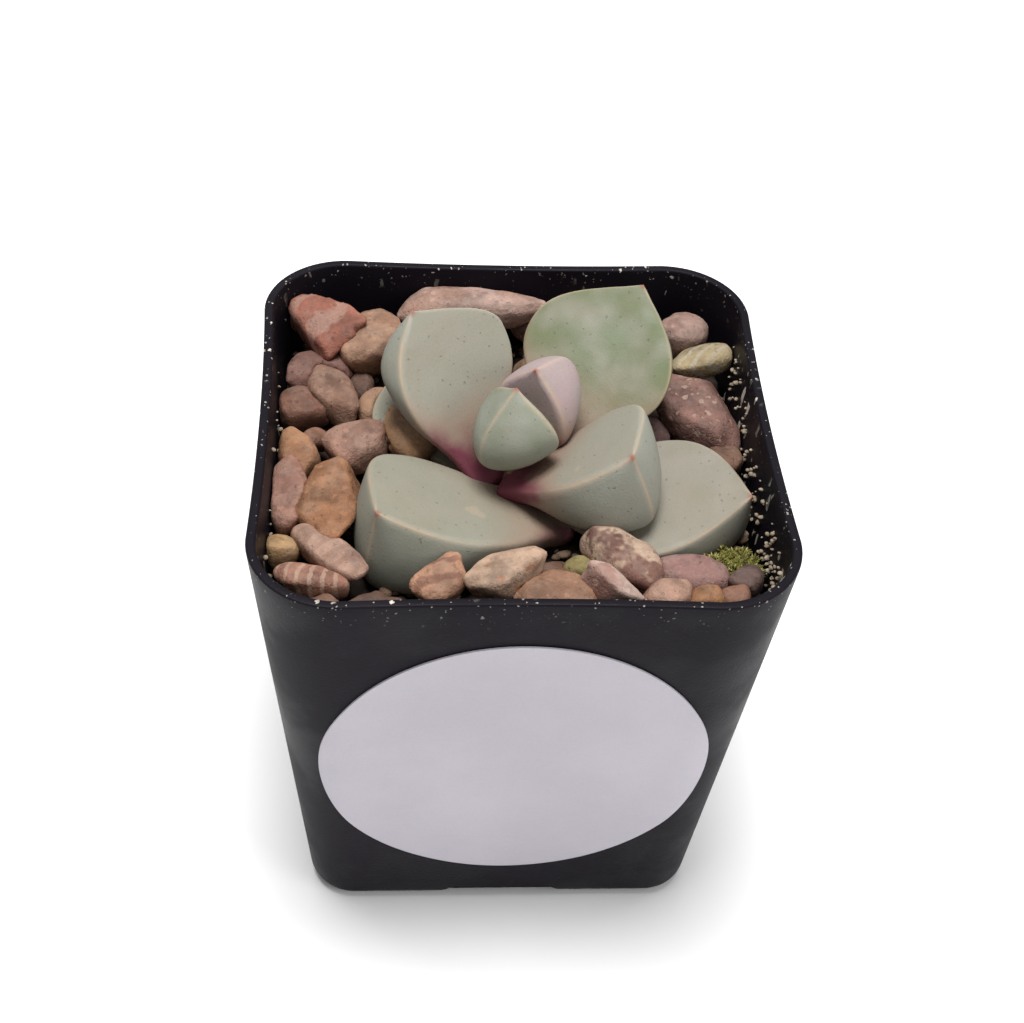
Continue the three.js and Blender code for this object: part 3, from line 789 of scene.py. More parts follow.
# ------------------------------------------------------------------ pot
@dataclass
class NurseryPot:
    """Square tapered pot with rounded corners, a thin plain rim, four feet and drain holes."""

    rim_half: float = 32 * MM
    foot_half: float = 25.8 * MM
    height: float = 65 * MM
    wall: float = 1.2 * MM
    rim_corner: float = 10.7 * MM
    foot_corner: float = 6 * MM
    foot_round: float = 2.2 * MM
    waist: float = 0.5 * MM
    rim_round: float = 0.3 * MM
    floor_under: float = 2.2 * MM
    floor_top: float = 3.8 * MM
    channel_low: float = 19 * MM
    channel_high: float = 14 * MM
    drain_radius: float = 3 * MM
    drain_reach: float = 15 * MM
    corner_steps: int = 18
    side_steps: int = 22
    wall_steps: int = 34

    def square(self, z: float, inset: float = 0.0) -> tuple[float, float, float]:
        """Work out the wall's outline at a height.

        Args:
            z: the height.
            inset: how far inside the outer skin.

        Returns:
            Its half width, corner radius and waist.
        """
        rise = z / self.height
        half = self.foot_half + (self.rim_half - self.foot_half) * rise - inset
        corner = self.foot_corner + (self.rim_corner - self.foot_corner) * rise - inset
        return half, max(corner, 1 * MM), self.waist * rise

    def ring(self, z: float, inset: float = 0.0, level: float | None = None) -> list[Point]:
        """Trace the wall's outline.

        Args:
            z: height that the outline belongs to.
            inset: how far inside the outer skin.
            level: height to put the points at, if not z.

        Returns:
            The points, anticlockwise from above.
        """
        half, corner, bow = self.square(z, inset)
        straight = half - corner
        points = []
        for side in range(4):
            turn = side * math.pi / 2
            spots = []
            for i in range(1, self.side_steps):
                along = -1 + 2 * i / self.side_steps
                spots.append((half - bow * (1 - along * along), along * straight))
            for i in range(self.corner_steps + 1):
                angle = i / self.corner_steps * math.pi / 2
                spots.append((straight + corner * math.cos(angle),
                              straight + corner * math.sin(angle)))
            points += [(x * math.cos(turn) - y * math.sin(turn),
                        x * math.sin(turn) + y * math.cos(turn), z if level is None else level)
                       for x, y in spots]
        return points

    def front(self, x: float, z: float) -> float:
        """Find the front wall's outer skin.

        Args:
            x: place across the wall.
            z: height.

        Returns:
            Its y there.
        """
        half, corner, bow = self.square(z)
        straight = half - corner
        if abs(x) <= straight:
            return -(half - bow * (1 - (x / straight) ** 2))
        return -(straight + math.sqrt(max(corner ** 2 - (abs(x) - straight) ** 2, 0.0)))

    def hold(self, points: np.ndarray, gap: float) -> np.ndarray:
        """Push points that lie outside the cavity back to its wall.

        Args:
            points: one row a point.
            gap: clearance to leave to the wall.

        Returns:
            The points, those outside moved straight in.
        """
        held = points.copy()
        for row in held:
            half, corner, bow = self.square(min(row[2], self.height), self.wall + gap)
            straight = half - corner
            x, y = abs(row[0]), abs(row[1])
            over_x, over_y = max(x - straight, 0.0), max(y - straight, 0.0)
            if over_x > 0 and over_y > 0:
                reach = math.hypot(over_x, over_y)
                if reach > corner:
                    row[0] = math.copysign(straight + over_x * corner / reach, row[0])
                    row[1] = math.copysign(straight + over_y * corner / reach, row[1])
                continue
            row[0] = math.copysign(min(x, half - bow * max(0.0, 1 - (y / straight) ** 2)), row[0])
            row[1] = math.copysign(min(y, half - bow * max(0.0, 1 - (x / straight) ** 2)), row[1])
        return held

    def _shell(self) -> tuple[np.ndarray, list[tuple[int, ...]]]:
        """Loft the closed skin: underside, wall, rim and inside.

        Returns:
            Its points and faces.
        """
        rings = []
        for i in range(9):
            angle = i / 8 * math.pi / 2
            rings.append(self.ring(self.foot_round * (1 - math.cos(angle)),
                                   self.foot_round * (1 - math.sin(angle))))
        top = self.height - self.rim_round
        for i in range(1, self.wall_steps + 1):
            rings.append(self.ring(self.foot_round + (top - self.foot_round) * i / self.wall_steps))
        for i in range(1, 5):
            angle = i / 4 * math.pi / 2
            rings.append(self.ring(top + self.rim_round * math.sin(angle),
                                   self.rim_round * (1 - math.cos(angle))))
        for i in range(5):
            angle = i / 4 * math.pi / 2
            rings.append(self.ring(top + self.rim_round * math.cos(angle),
                                   self.wall - self.rim_round * (1 - math.sin(angle))))
        low = self.floor_top + 1.5 * MM
        for i in range(1, self.wall_steps + 1):
            rings.append(self.ring(top + (low - top) * i / self.wall_steps, self.wall))
        for i in range(1, 6):
            angle = i / 5 * math.pi / 2
            rings.append(self.ring(low - 1.5 * MM * math.sin(angle),
                                   self.wall + 1.5 * MM * (1 - math.cos(angle))))
        count = len(rings[0])
        points = [p for ring in rings for p in ring]
        faces = bridge(count, len(rings))
        for first, z, flip in ((0, 0.0, True), ((len(rings) - 1) * count, self.floor_top, False)):
            points.append((0.0, 0.0, z))
            for i in range(count):
                a, b = first + i, first + (i + 1) % count
                faces.append((len(points) - 1, b, a) if flip else (len(points) - 1, a, b))
        return np.array(points), faces

    def _cutters(self) -> list[bpy.types.Object]:
        """Make solids for the two channels under the floor and the five drain holes.

        Returns:
            The solids.
        """
        cutters = []
        reach = 2 * self.rim_half
        outline = [(-self.channel_low / 2, -1 * MM), (self.channel_low / 2, -1 * MM),
                   (self.channel_low / 2, 0.0), (self.channel_high / 2, self.floor_under),
                   (-self.channel_high / 2, self.floor_under), (-self.channel_low / 2, 0.0)]
        for turn in (0.0, math.pi / 2):
            spin = Matrix.Rotation(turn, 3, "Z")
            points = [spin @ Vector((x, y, z)) for y in (-reach, reach) for x, z in outline]
            faces = bridge(6, 2) + [(5, 4, 3, 2, 1, 0), (6, 7, 8, 9, 10, 11)]
            cutters.append(self._cutter(points, faces))
        for x, y in ((0, 0), (1, 0), (0, 1), (-1, 0), (0, -1)):
            spots = [(math.cos(a * math.pi / 18), math.sin(a * math.pi / 18)) for a in range(36)]
            points = [(x * self.drain_reach + self.drain_radius * c,
                       y * self.drain_reach + self.drain_radius * s, z)
                      for z in (-2 * MM, 8 * MM) for c, s in spots]
            faces = bridge(36, 2) + [tuple(reversed(range(36))), tuple(range(36, 72))]
            cutters.append(self._cutter(points, faces))
        return cutters

    @staticmethod
    def _cutter(points: list, faces: list) -> bpy.types.Object:
        """Make a bare mesh object to cut with, its faces made to look out.

        Args:
            points: its points.
            faces: its faces.

        Returns:
            The object.
        """
        mesh = bpy.data.meshes.new("cutter")
        mesh.from_pydata([tuple(p) for p in points], [], faces)
        mesh.update()
        piece = bpy.data.objects.new("cutter", mesh)
        bpy.context.scene.collection.objects.link(piece)
        volume = sum((Vector(mesh.vertices[f.vertices[0]].co)).dot(f.normal) * f.area
                     for f in mesh.polygons)
        if volume < 0:
            mesh.flip_normals()
        return piece

    def build(self, finish: bpy.types.Material) -> bpy.types.Object:
        """Build the pot.

        Args:
            finish: its plastic.

        Returns:
            The pot.
        """
        points, faces = self._shell()
        block = make_piece("pot_block", points, faces, finish)
        cutters = self._cutters()
        for cutter in cutters:
            cut = block.modifiers.new("cut", "BOOLEAN")
            cut.operation, cut.solver, cut.object = "DIFFERENCE", "EXACT", cutter
        mesh = evaluated_copy(block, "nursery_pot")
        for cutter in cutters:
            bpy.data.objects.remove(cutter)
        piece = bpy.data.objects.new("nursery_pot", mesh)
        bpy.context.scene.collection.objects.link(piece)
        mesh.set_sharp_from_angle(angle=math.radians(38))
        self._mark(piece)
        stand_in(piece, "pot_plastic", "pot")
        return piece

    def _mark(self, piece: bpy.types.Object) -> None:
        """Store where the rim, the inside and the lime spatter are.

        Args:
            piece: the pot's mesh object.
        """
        points = mesh_points(piece.data)
        inside, rim, spatter = [], [], []
        for x, y, z in points:
            half, corner, bow = self.square(z)
            straight = half - corner
            over = math.hypot(max(abs(x) - straight, 0), max(abs(y) - straight, 0))
            depth = (corner - over if min(abs(x), abs(y)) > straight
                     else half - max(abs(x), abs(y)))
            within = 1.0 if depth > 0.55 * self.wall + bow and z > self.floor_top else 0.0
            height = z / self.height
            rim.append(max(0.0, min(1.0, (height - 0.93) / 0.07)) ** 2)
            inside.append(within)
            right = max(0.0, min(1.0, (x - 14 * MM) / (10 * MM)))
            left = 0.45 * max(0.0, min(1.0, (-x - 18 * MM) / (8 * MM)))
            spatter.append(within * max(right, left, 0.15) * (1.0 if height > 0.78 else 0.0))
        store(piece, "inside", np.array(inside))
        store(piece, "rim", np.array(rim))
        store(piece, "spatter", np.array(spatter))


@dataclass
class PaperLabel:
    """Blank round label that lies on the front wall and follows its curve."""

    pot: NurseryPot
    half_wide: float = 24.1 * MM
    half_tall: float = 24.5 * MM
    thick: float = 0.25 * MM
    middle: float = 33.1 * MM
    gap: float = 0.06 * MM
    around: int = 144
    across: int = 22

    def build(self, finish: bpy.types.Material) -> bpy.types.Object:
        """Build the label.

        Args:
            finish: its paper.

        Returns:
            The label.
        """
        lean = math.cos(math.atan((self.pot.rim_half - self.pot.foot_half) / self.pot.height))
        edge = 0.3 * self.thick
        layers = [(i / self.across, self.thick) for i in range(1, self.across + 1)]
        layers += [(1.0 + 0.4 * edge / self.half_tall, self.thick - edge),
                   (1.0 + 0.4 * edge / self.half_tall, 0.0), (1.0, 0.0)]
        layers += [(share, 0.0) for share in (0.75, 0.5, 0.25)]
        points = [self._lay(0.0, 0.0, self.thick, lean)]
        for share, lift in layers:
            for i in range(self.around):
                angle = 2 * math.pi * i / self.around
                points.append(self._lay(share * math.cos(angle), share * math.sin(angle),
                                        lift, lean))
        points.append(self._lay(0.0, 0.0, 0.0, lean))
        faces = [tuple(1 + n for n in face) for face in bridge(self.around, len(layers))]
        last = len(points) - 1
        start = 1 + (len(layers) - 1) * self.around
        for i in range(self.around):
            following = (i + 1) % self.around
            faces.append((0, 1 + following, 1 + i))
            faces.append((last, start + i, start + following))
        piece = make_piece("paper_label", np.array(points), faces, finish)
        piece.data.flip_normals()
        piece.data.set_sharp_from_angle(angle=math.radians(50))
        stand_in(piece, "label_paper", "label")
        return piece

    def _lay(self, u: float, v: float, lift: float, lean: float) -> Point:
        """Place a point of the label on the wall.

        Args:
            u: place across the label, -1 to 1.
            v: place up the label, -1 to 1.
            lift: height above its back.
            lean: cosine of the wall's lean.

        Returns:
            The place.
        """
        x = self.half_wide * u
        z = self.middle + self.half_tall * v * lean
        ripple = 0.03 * MM * noise.noise(Vector((x * 130, 4.0, z * 130)))
        return (x, self.pot.front(x, z) - self.gap - lift - max(ripple, -0.5 * self.gap), z)


# ------------------------------------------------------------------ plant
@dataclass(frozen=True)
class Leaf:
    """One leaf: a flat upper face between two margins over a keel that rises to the tip.

    foot and tip are in millimetres, faces is the way that the upper face looks, and each
    rib is where it is widest, as a share of the length, and its reach there. neck is half the
    width, and the depth, at the foot.
    """

    name: str
    foot: Point
    tip: Point
    faces: Point
    left: tuple[float, float]
    right: tuple[float, float]
    keel: tuple[float, float]
    neck: tuple[float, float] = (4.0, 3.4)
    flush: float = 0.5
    green: float = 0.3
    rosy: float = 0.1
    crown: float = 0.3


@dataclass
class SplitRock:
    """The plant: pairs of keeled leaves, each pair crossing the one below."""

    pot: NurseryPot
    lower_steps: int = 30
    upper_steps: int = 52
    face_steps: int = 26
    round_steps: int = 6
    edge: float = 0.95
    leaves: tuple[Leaf, ...] = (
        Leaf("leaf_centre_front", (2.6, -1.4, 61), (-0.6, -2.9, 72.2), (0.73, 0.61, 0.3),
             (0.57, 6.3), (0.56, 5.7), (0.44, 8), neck=(2.4, 3), flush=0.3, green=0.9),
        Leaf("leaf_centre_back", (2.1, -1.6, 60.5), (1.7, -0.3, 72.8), (-0.5, -0.7, -0.1),
             (0.48, 5.7), (0.3, 4.6), (0.72, 8), neck=(2.4, 3), flush=0.7, green=0.0, rosy=0.9),
        Leaf("leaf_upright_left", (-1.8, -3.9, 57.5), (-13.1, 10.5, 73), (0.41, -0.5, 0.76),
             (0.55, 6.5), (0.74, 11.7), (0.91, 7), neck=(3.6, 3.4), flush=1.0, green=0.25),
        Leaf("leaf_upright_right", (-1.1, -4, 58.9), (12.6, -12.5, 70), (-0.52, 0.24, 0.82),
             (0.685, 11.8), (0.46, 4.3), (0.83, 10), neck=(3.4, 3.6), flush=1.0, green=0.15),
        Leaf("leaf_spread_front", (4.9, -6.6, 55.5), (-17.2, -17.5, 65.5), (0.33, 0.21, 0.92),
             (0.485, 6.5), (0.69, 12.4), (0.857, 11), neck=(5, 4.2), flush=0.5, green=0.4),
        Leaf("leaf_spread_back", (4.2, 0.9, 59.9), (16.8, 18.1, 72), (-0.21, -0.46, 0.86),
             (0.56, 10.9), (0.47, 10), (0.75, 6), neck=(5, 3.6), flush=0.6, green=2.1),
        Leaf("leaf_low_right", (3.9, -4.7, 55.5), (28.3, -10.5, 61.9), (-0.26, -0.03, 0.97),
             (0.58, 10.4), (0.44, 9.8), (0.9, 6.9), neck=(4, 3.4), flush=0.3, green=0.7,
             rosy=0.3),
        Leaf("leaf_low_left", (-4, 0, 56), (-13, 16.5, 61), (0.12, -0.23, 0.97),
             (0.55, 9.5), (0.55, 9.5), (0.8, 5.5), neck=(4, 3.4), flush=0.2, green=0.5),
    )

    def _rib(self, length: float, neck: float, shoulder: float, reach: float,
             corner: float) -> np.ndarray:
        """Trace a margin or keel.

        Args:
            length: length of the leaf.
            neck: reach at the foot.
            shoulder: where it is widest, as a share of the length.
            reach: how far out it goes there.
            corner: how square the way to the tip starts.

        Returns:
            Rows of distance along the leaf and distance out.
        """
        at = shoulder * length
        rest = length - at
        low = np.array([(0, neck), (0.55 * at, neck), (0.55 * at, reach), (at, reach)])
        high = np.array([(at, reach), (at + corner * rest, reach),
                         (at + (0.45 + 0.55 * corner) * rest, 0.55 * reach), (length, 0)])
        rows = []
        for handles, steps, first in ((low, self.lower_steps, 0), (high, self.upper_steps, 1)):
            for i in range(first, steps + 1):
                t = i / steps
                share = np.array([(1 - t) ** 3, 3 * t * (1 - t) ** 2, 3 * t * t * (1 - t), t ** 3])
                rows.append(share @ handles)
        return np.array(rows)

    def _section(self, left: np.ndarray, right: np.ndarray, keel: np.ndarray, fullness: float,
                 up: np.ndarray, crown: float) -> tuple[list[np.ndarray], list[tuple]]:
        """Trace one cross-section with softly rounded margins and keel.

        Args:
            left: place of the left margin.
            right: place of the right margin.
            keel: place of the keel.
            fullness: how far the flanks bulge, 0 to 1.
            up: the way that the upper face looks.
            crown: how far the upper face swells, in millimetres.

        Returns:
            The points, and for each its distance to the nearest ridge and whether it is
            on the upper face.
        """
        middle = 0.5 * (left + right)
        width = np.linalg.norm(left - right)

        def deck(t: float) -> np.ndarray:
            """Return a point on the upper face, from the right margin to the left."""
            swell = crown * (1 - (2 * t - 1) ** 4) * min(1.0, width / 12)
            return right + t * (left - right) + up * swell

        def flank(margin: np.ndarray, t: float) -> np.ndarray:
            """Return a point on a flank, from its margin to the keel."""
            bend = 0.5 * (margin + keel) * (1 - fullness) + fullness * (margin + keel - middle)
            return margin * (1 - t) ** 2 + bend * 2 * t * (1 - t) + keel * t * t

        sides = (deck, lambda t: flank(left, t), lambda t: flank(right, 1 - t))
        corners = (left, keel, right)
        points, facts = [], []
        cuts = []
        for side in sides:
            size = max(np.linalg.norm(side(0.5) - side(0.0)) + np.linalg.norm(
                side(1.0) - side(0.5)), 1e-6)
            cuts.append((min(0.3, self.edge / size), size))
        for number, side in enumerate(sides):
            cut, size = cuts[number]
            for i in range(self.face_steps + 1):
                t = cut + (1 - 2 * cut) * (0.5 - 0.5 * math.cos(math.pi * i / self.face_steps))
                points.append(side(t))
                facts.append((min(t, 1 - t) * size, 1.0 if number == 0 else 0.0))
            start = side(1 - cut)
            next_cut = cuts[(number + 1) % 3][0]
            finish = sides[(number + 1) % 3](next_cut)
            for i in range(1, self.round_steps):
                t = i / self.round_steps
                points.append(start * (1 - t) ** 2 + corners[number] * 2 * t * (1 - t)
                              + finish * t * t)
                facts.append((abs(2 * t - 1) * cut * size, 0.5 if number != 1 else 0.0))
        return points, facts

    def _shape(self, leaf: Leaf) -> tuple[np.ndarray, list[tuple[int, ...]], dict]:
        """Work out a leaf's points, faces and marks.

        Args:
            leaf: the leaf.

        Returns:
            Points in metres, faces, and lists of numbers by attribute name.
        """
        foot, tip = np.array(leaf.foot, float), np.array(leaf.tip, float)
        ahead = tip - foot
        length = float(np.linalg.norm(ahead))
        ahead /= length
        up = np.array(leaf.faces, float)
        up -= up.dot(ahead) * ahead
        up /= np.linalg.norm(up)
        across = np.cross(up, ahead)
        lefts = self._rib(length, leaf.neck[0], *leaf.left, 0.45)
        rights = self._rib(length, leaf.neck[0], *leaf.right, 0.45)
        keels = self._rib(length, leaf.neck[1], *leaf.keel, 0.55)
        steps = len(lefts) - 1
        points, ridge, upper, along = [], [], [], []
        for i in range(steps):
            left = foot + ahead * lefts[i][0] + across * lefts[i][1]
            right = foot + ahead * rights[i][0] - across * rights[i][1]
            keel = foot + ahead * keels[i][0] - up * keels[i][1]
            ring, facts = self._section(left, right, keel, 0.85 - 0.4 * i / steps, up, leaf.crown)
            points += ring
            ridge += [distance for distance, _ in facts]
            upper += [face for _, face in facts]
            along += [float((p - foot).dot(ahead)) / length for p in ring]
        count = len(points) // steps
        faces = bridge(count, steps)
        points.append(tip)
        points.append(foot.copy())
        for i in range(count):
            following = (i + 1) % count
            faces.append((len(points) - 2, (steps - 1) * count + i,
                          (steps - 1) * count + following))
            faces.append((len(points) - 1, following, i))
        marks = {"ridge": ridge + [0.0, 5.0], "upper": upper + [0.5, 0.5],
                 "along": along + [1.0, 0.0]}
        return np.array(points) * MM, faces, marks

    def build(self, finish: bpy.types.Material) -> list[bpy.types.Object]:
        """Build the leaves.

        Args:
            finish: their skin.

        Returns:
            The leaves, from the centre out.
        """
        pieces = []
        for number, leaf in enumerate(self.leaves):
            points, faces, marks = self._shape(leaf)
            name = leaf.name.replace("leaf_", "keeled_leaf_")
            piece = make_piece(name, points, faces, finish)
            self._turn_out(piece.data)
            normals = mesh_normals(piece.data)
            along = np.array(marks["along"])
            taper = np.clip((1 - along) * 6, 0.15, 1.0)
            swell = (0.20 * rough_field(points, 75, 2, 3.1 * number)
                     + 0.03 * rough_field(points, 420, 3, 5.7 * number)) * MM * taper
            moved = self.pot.hold(points + normals * swell[:, None], 0.35 * MM)
            piece.data.vertices.foreach_set("co", moved.astype(np.float32).ravel())
            piece.data.update()
            self._mark(piece, leaf, moved, marks)
            stand_in(piece, "leaf_skin", leaf.name)
            pieces.append(piece)
        return pieces

    @staticmethod
    def _turn_out(mesh: bpy.types.Mesh) -> None:
        """Make a closed mesh's faces look outwards.

        Args:
            mesh: the mesh.
        """
        points = mesh_points(mesh)
        middle = Vector(points.mean(axis=0))
        volume = sum((face.center - middle).dot(face.normal) * face.area
                     for face in mesh.polygons)
        if volume < 0:
            mesh.flip_normals()
        mesh.update()

    @staticmethod
    def _mark(piece: bpy.types.Object, leaf: Leaf, points: np.ndarray, marks: dict) -> None:
        """Store where ridges, upper face, flush, deep green and the tip's point are.

        Args:
            piece: the leaf's mesh object.
            leaf: its sizes and colouring.
            points: its points.
            marks: numbers by name from its shape.
        """
        along = np.array(marks["along"])
        distance = np.array(marks["ridge"])
        wobble = 0.3 * rough_field(points, 260, 2, 9.0)
        line = np.exp(-(distance / 0.3) ** 2) * np.clip(1.5 * along - 0.25, 0, 0.75)
        store(piece, "ridge", np.clip(line, 0, 1))
        store(piece, "upper", np.array(marks["upper"]))
        base = np.clip(1.0 - (along + 0.08 * wobble) / 0.62, 0, 1) ** 1.2
        near_edge = np.exp(-(distance / 1.6) ** 2) * np.clip(1.0 - along / 0.8, 0, 1)
        store(piece, "flush", np.clip(leaf.flush * (base + 0.5 * near_edge), 0, 1.2))
        low = np.clip((0.45 - along) / 0.45, 0, 1)
        store(piece, "deep", np.clip(leaf.green * (0.35 + low + wobble), 0, 1))
        store(piece, "rosy", np.clip(leaf.rosy * (0.9 + wobble), 0, 1))
        away = np.linalg.norm(points - np.array(leaf.tip) * MM, axis=1)
        store(piece, "point", 0.8 * np.exp(-(away / (0.5 * MM)) ** 2))


@dataclass
class RootCrown:
    """Short woody crown that the leaves grow from, set in the soil."""

    middle: tuple[float, float] = (1 * MM, -3.2 * MM)
    profile: tuple[tuple[float, float], ...] = (
        (0.6, 44.5), (1.82, 50), (2.6, 52.2), (2.95, 55), (2.99, 57), (2.6, 58.6), (2.08, 59.5))
    around: int = 48

    def build(self, finish: bpy.types.Material) -> bpy.types.Object:
        """Build the crown.

        Args:
            finish: its bark.

        Returns:
            The crown.
        """
        points, tone = [], []
        heights = np.linspace(self.profile[0][1], self.profile[-1][1], 40)
        radii = np.interp(heights, [z for _, z in self.profile], [r for r, _ in self.profile])
        for radius, z in zip(radii, heights):
            for i in range(self.around):
                angle = 2 * math.pi * i / self.around
                way = Vector((math.cos(angle), math.sin(angle), 0.0))
                rough = noise.noise(Vector((way.x * 2.5, way.y * 2.5, z * 0.9)))
                grown = radius * (0.93 + 0.07 * rough)
                points.append((self.middle[0] + grown * way.x * MM,
                               self.middle[1] + grown * way.y * MM, z * MM))
                tone.append(0.4 + 0.5 * rough)
        points += [(*self.middle, 44 * MM), (*self.middle, 60 * MM)]
        faces = bridge(self.around, len(heights))
        top = (len(heights) - 1) * self.around
        for i in range(self.around):
            following = (i + 1) % self.around
            faces.append((len(points) - 2, following, i))
            faces.append((len(points) - 1, top + i, top + following))
        piece = make_piece("root_crown", np.array(points), faces, finish)
        store(piece, "tone", np.clip(np.array(tone + [0.4, 0.4]), 0, 0.75))
        stand_in(piece, "stem_bark", "stem")
        return piece


# ------------------------------------------------------------------ soil, gravel and moss
def ball_shape(fineness: int) -> tuple[np.ndarray, list[tuple[int, ...]]]:
    """Make a ball of radius 1 from even triangles.

    Args:
        fineness: how many times its triangles are split.

    Returns:
        Its points and faces.
    """
    form = bmesh.new()
    bmesh.ops.create_icosphere(form, subdivisions=fineness, radius=1.0)
    points = np.array([v.co[:] for v in form.verts])
    faces = [tuple(v.index for v in f.verts) for f in form.faces]
    form.free()
    return points, faces


@dataclass
class GrainHeap:
    """Collects many small grains into one mesh."""

    seed: int
    fineness: int = 2
    points: list = field(default_factory=list)
    faces: list = field(default_factory=list)
    tones: list = field(default_factory=list)
    total: int = 0

    def __post_init__(self) -> None:
        """Prepare the ball that every grain starts from."""
        self.ball, self.ball_faces = ball_shape(self.fineness)
        self.random = random.Random(self.seed)

    def drop(self, middle: Point, size: float, tone: float, flatness: float = 0.7) -> None:
        """Add one angular grain.

        Args:
            middle: its place.
            size: its radius.
            tone: its place between its finish's colours.
            flatness: its thickness as a share of its width.
        """
        draw = self.random
        stretch = np.array([draw.uniform(0.85, 1.3), draw.uniform(0.7, 1.0), flatness])
        planes = np.array([[draw.uniform(-1, 1) for _ in range(3)] for _ in range(7)])
        planes /= np.linalg.norm(planes, axis=1)[:, None]
        press = (np.clip(self.ball @ planes.T, 0, None) / draw.uniform(0.72, 0.86)) ** 9
        body = self.ball / (1 + press.sum(axis=1))[:, None] ** (1 / 9)
        turn = Matrix.Rotation(draw.uniform(0, 6.28), 3, "Z") @ Matrix.Rotation(
            draw.uniform(-0.5, 0.5), 3, "X")
        grain = (body * stretch * size) @ np.array(turn).T + np.array(middle)
        self.points.append(grain)
        self.faces += [tuple(self.total + n for n in face) for face in self.ball_faces]
        self.tones += [tone] * len(grain)
        self.total += len(grain)

    def pour(self, name: str, finish: bpy.types.Material) -> bpy.types.Object:
        """Make one piece of every grain so far.

        Args:
            name: the piece's name.
            finish: its material.

        Returns:
            The piece.
        """
        piece = make_piece(name, np.concatenate(self.points), self.faces, finish)
        store(piece, "tone", np.array(self.tones))
        return piece


@dataclass
class PottingSoil:
    """Dark potting mix that fills the pot to just below the gravel."""

    pot: NurseryPot
    bottom: float = 4.1 * MM
    top: float = 53.2 * MM
    rough: float = 0.5 * MM
    rings: int = 70

    def build(self, finish: bpy.types.Material) -> bpy.types.Object:
        """Build the body of soil, with a crumbly top.

        Args:
            finish: its look.

        Returns:
            The soil.
        """
        inset = self.pot.wall + 0.35 * MM
        stack = [self.pot.ring(self.bottom, inset + 1 * MM)]
        for i in range(8):
            stack.append(self.pot.ring(self.bottom + 1.5 * MM
                                       + (self.top - self.bottom - 1.5 * MM) * i / 7, inset))
        count = len(stack[0])
        points = [p for ring in stack for p in ring]
        edge = np.array(stack[-1])
        for i in range(1, self.rings):
            share = 1 - i / self.rings
            points += [(x * share, y * share, z) for x, y, z in edge]
        points = np.array(points + [(0.0, 0.0, self.top), (0.0, 0.0, self.bottom)])
        levels = len(stack) + self.rings - 1
        faces = bridge(count, levels)
        for i in range(count):
            following = (i + 1) % count
            faces.append((len(points) - 2, (levels - 1) * count + i,
                          (levels - 1) * count + following))
            faces.append((len(points) - 1, following, i))
        upper = points[:, 2] >= self.top - 1e-6
        crumbs = rough_field(points, 420, 4, 2.0)
        points[upper, 2] += self.rough * crumbs[upper]
        piece = make_piece("potting_soil", points, faces, finish)
        store(piece, "tone", np.clip(0.3 + 0.4 * crumbs, 0, 0.8))
        stand_in(piece, "potting_soil", "soil")
        return piece


@dataclass(frozen=True)
class Stone:
    """Colour and marks of one named stone."""

    name: str
    finish: StoneFinish


def stone(name: str, colour: tuple, second: tuple, veins: Veins = Veins.CLOUDS,
          amount: float = 0.5, tilt: float = 0.6) -> Stone:
    """Return a stone from paint-chart colours.

    Args:
        name: the stone's name.
        colour: its main colour.
        second: the colour of its marks.
        veins: the form of its marks.
        amount: how strongly the marks show.
        tilt: turn of its marks.

    Returns:
        The stone.
    """
    main, mark = (tuple(c * w for c, w in zip(chart(*shade, GravelBed.depth), GravelBed.warmth))
                  for shade in (colour, second))
    return Stone(name, StoneFinish(main, mark, veins, amount, tilt))


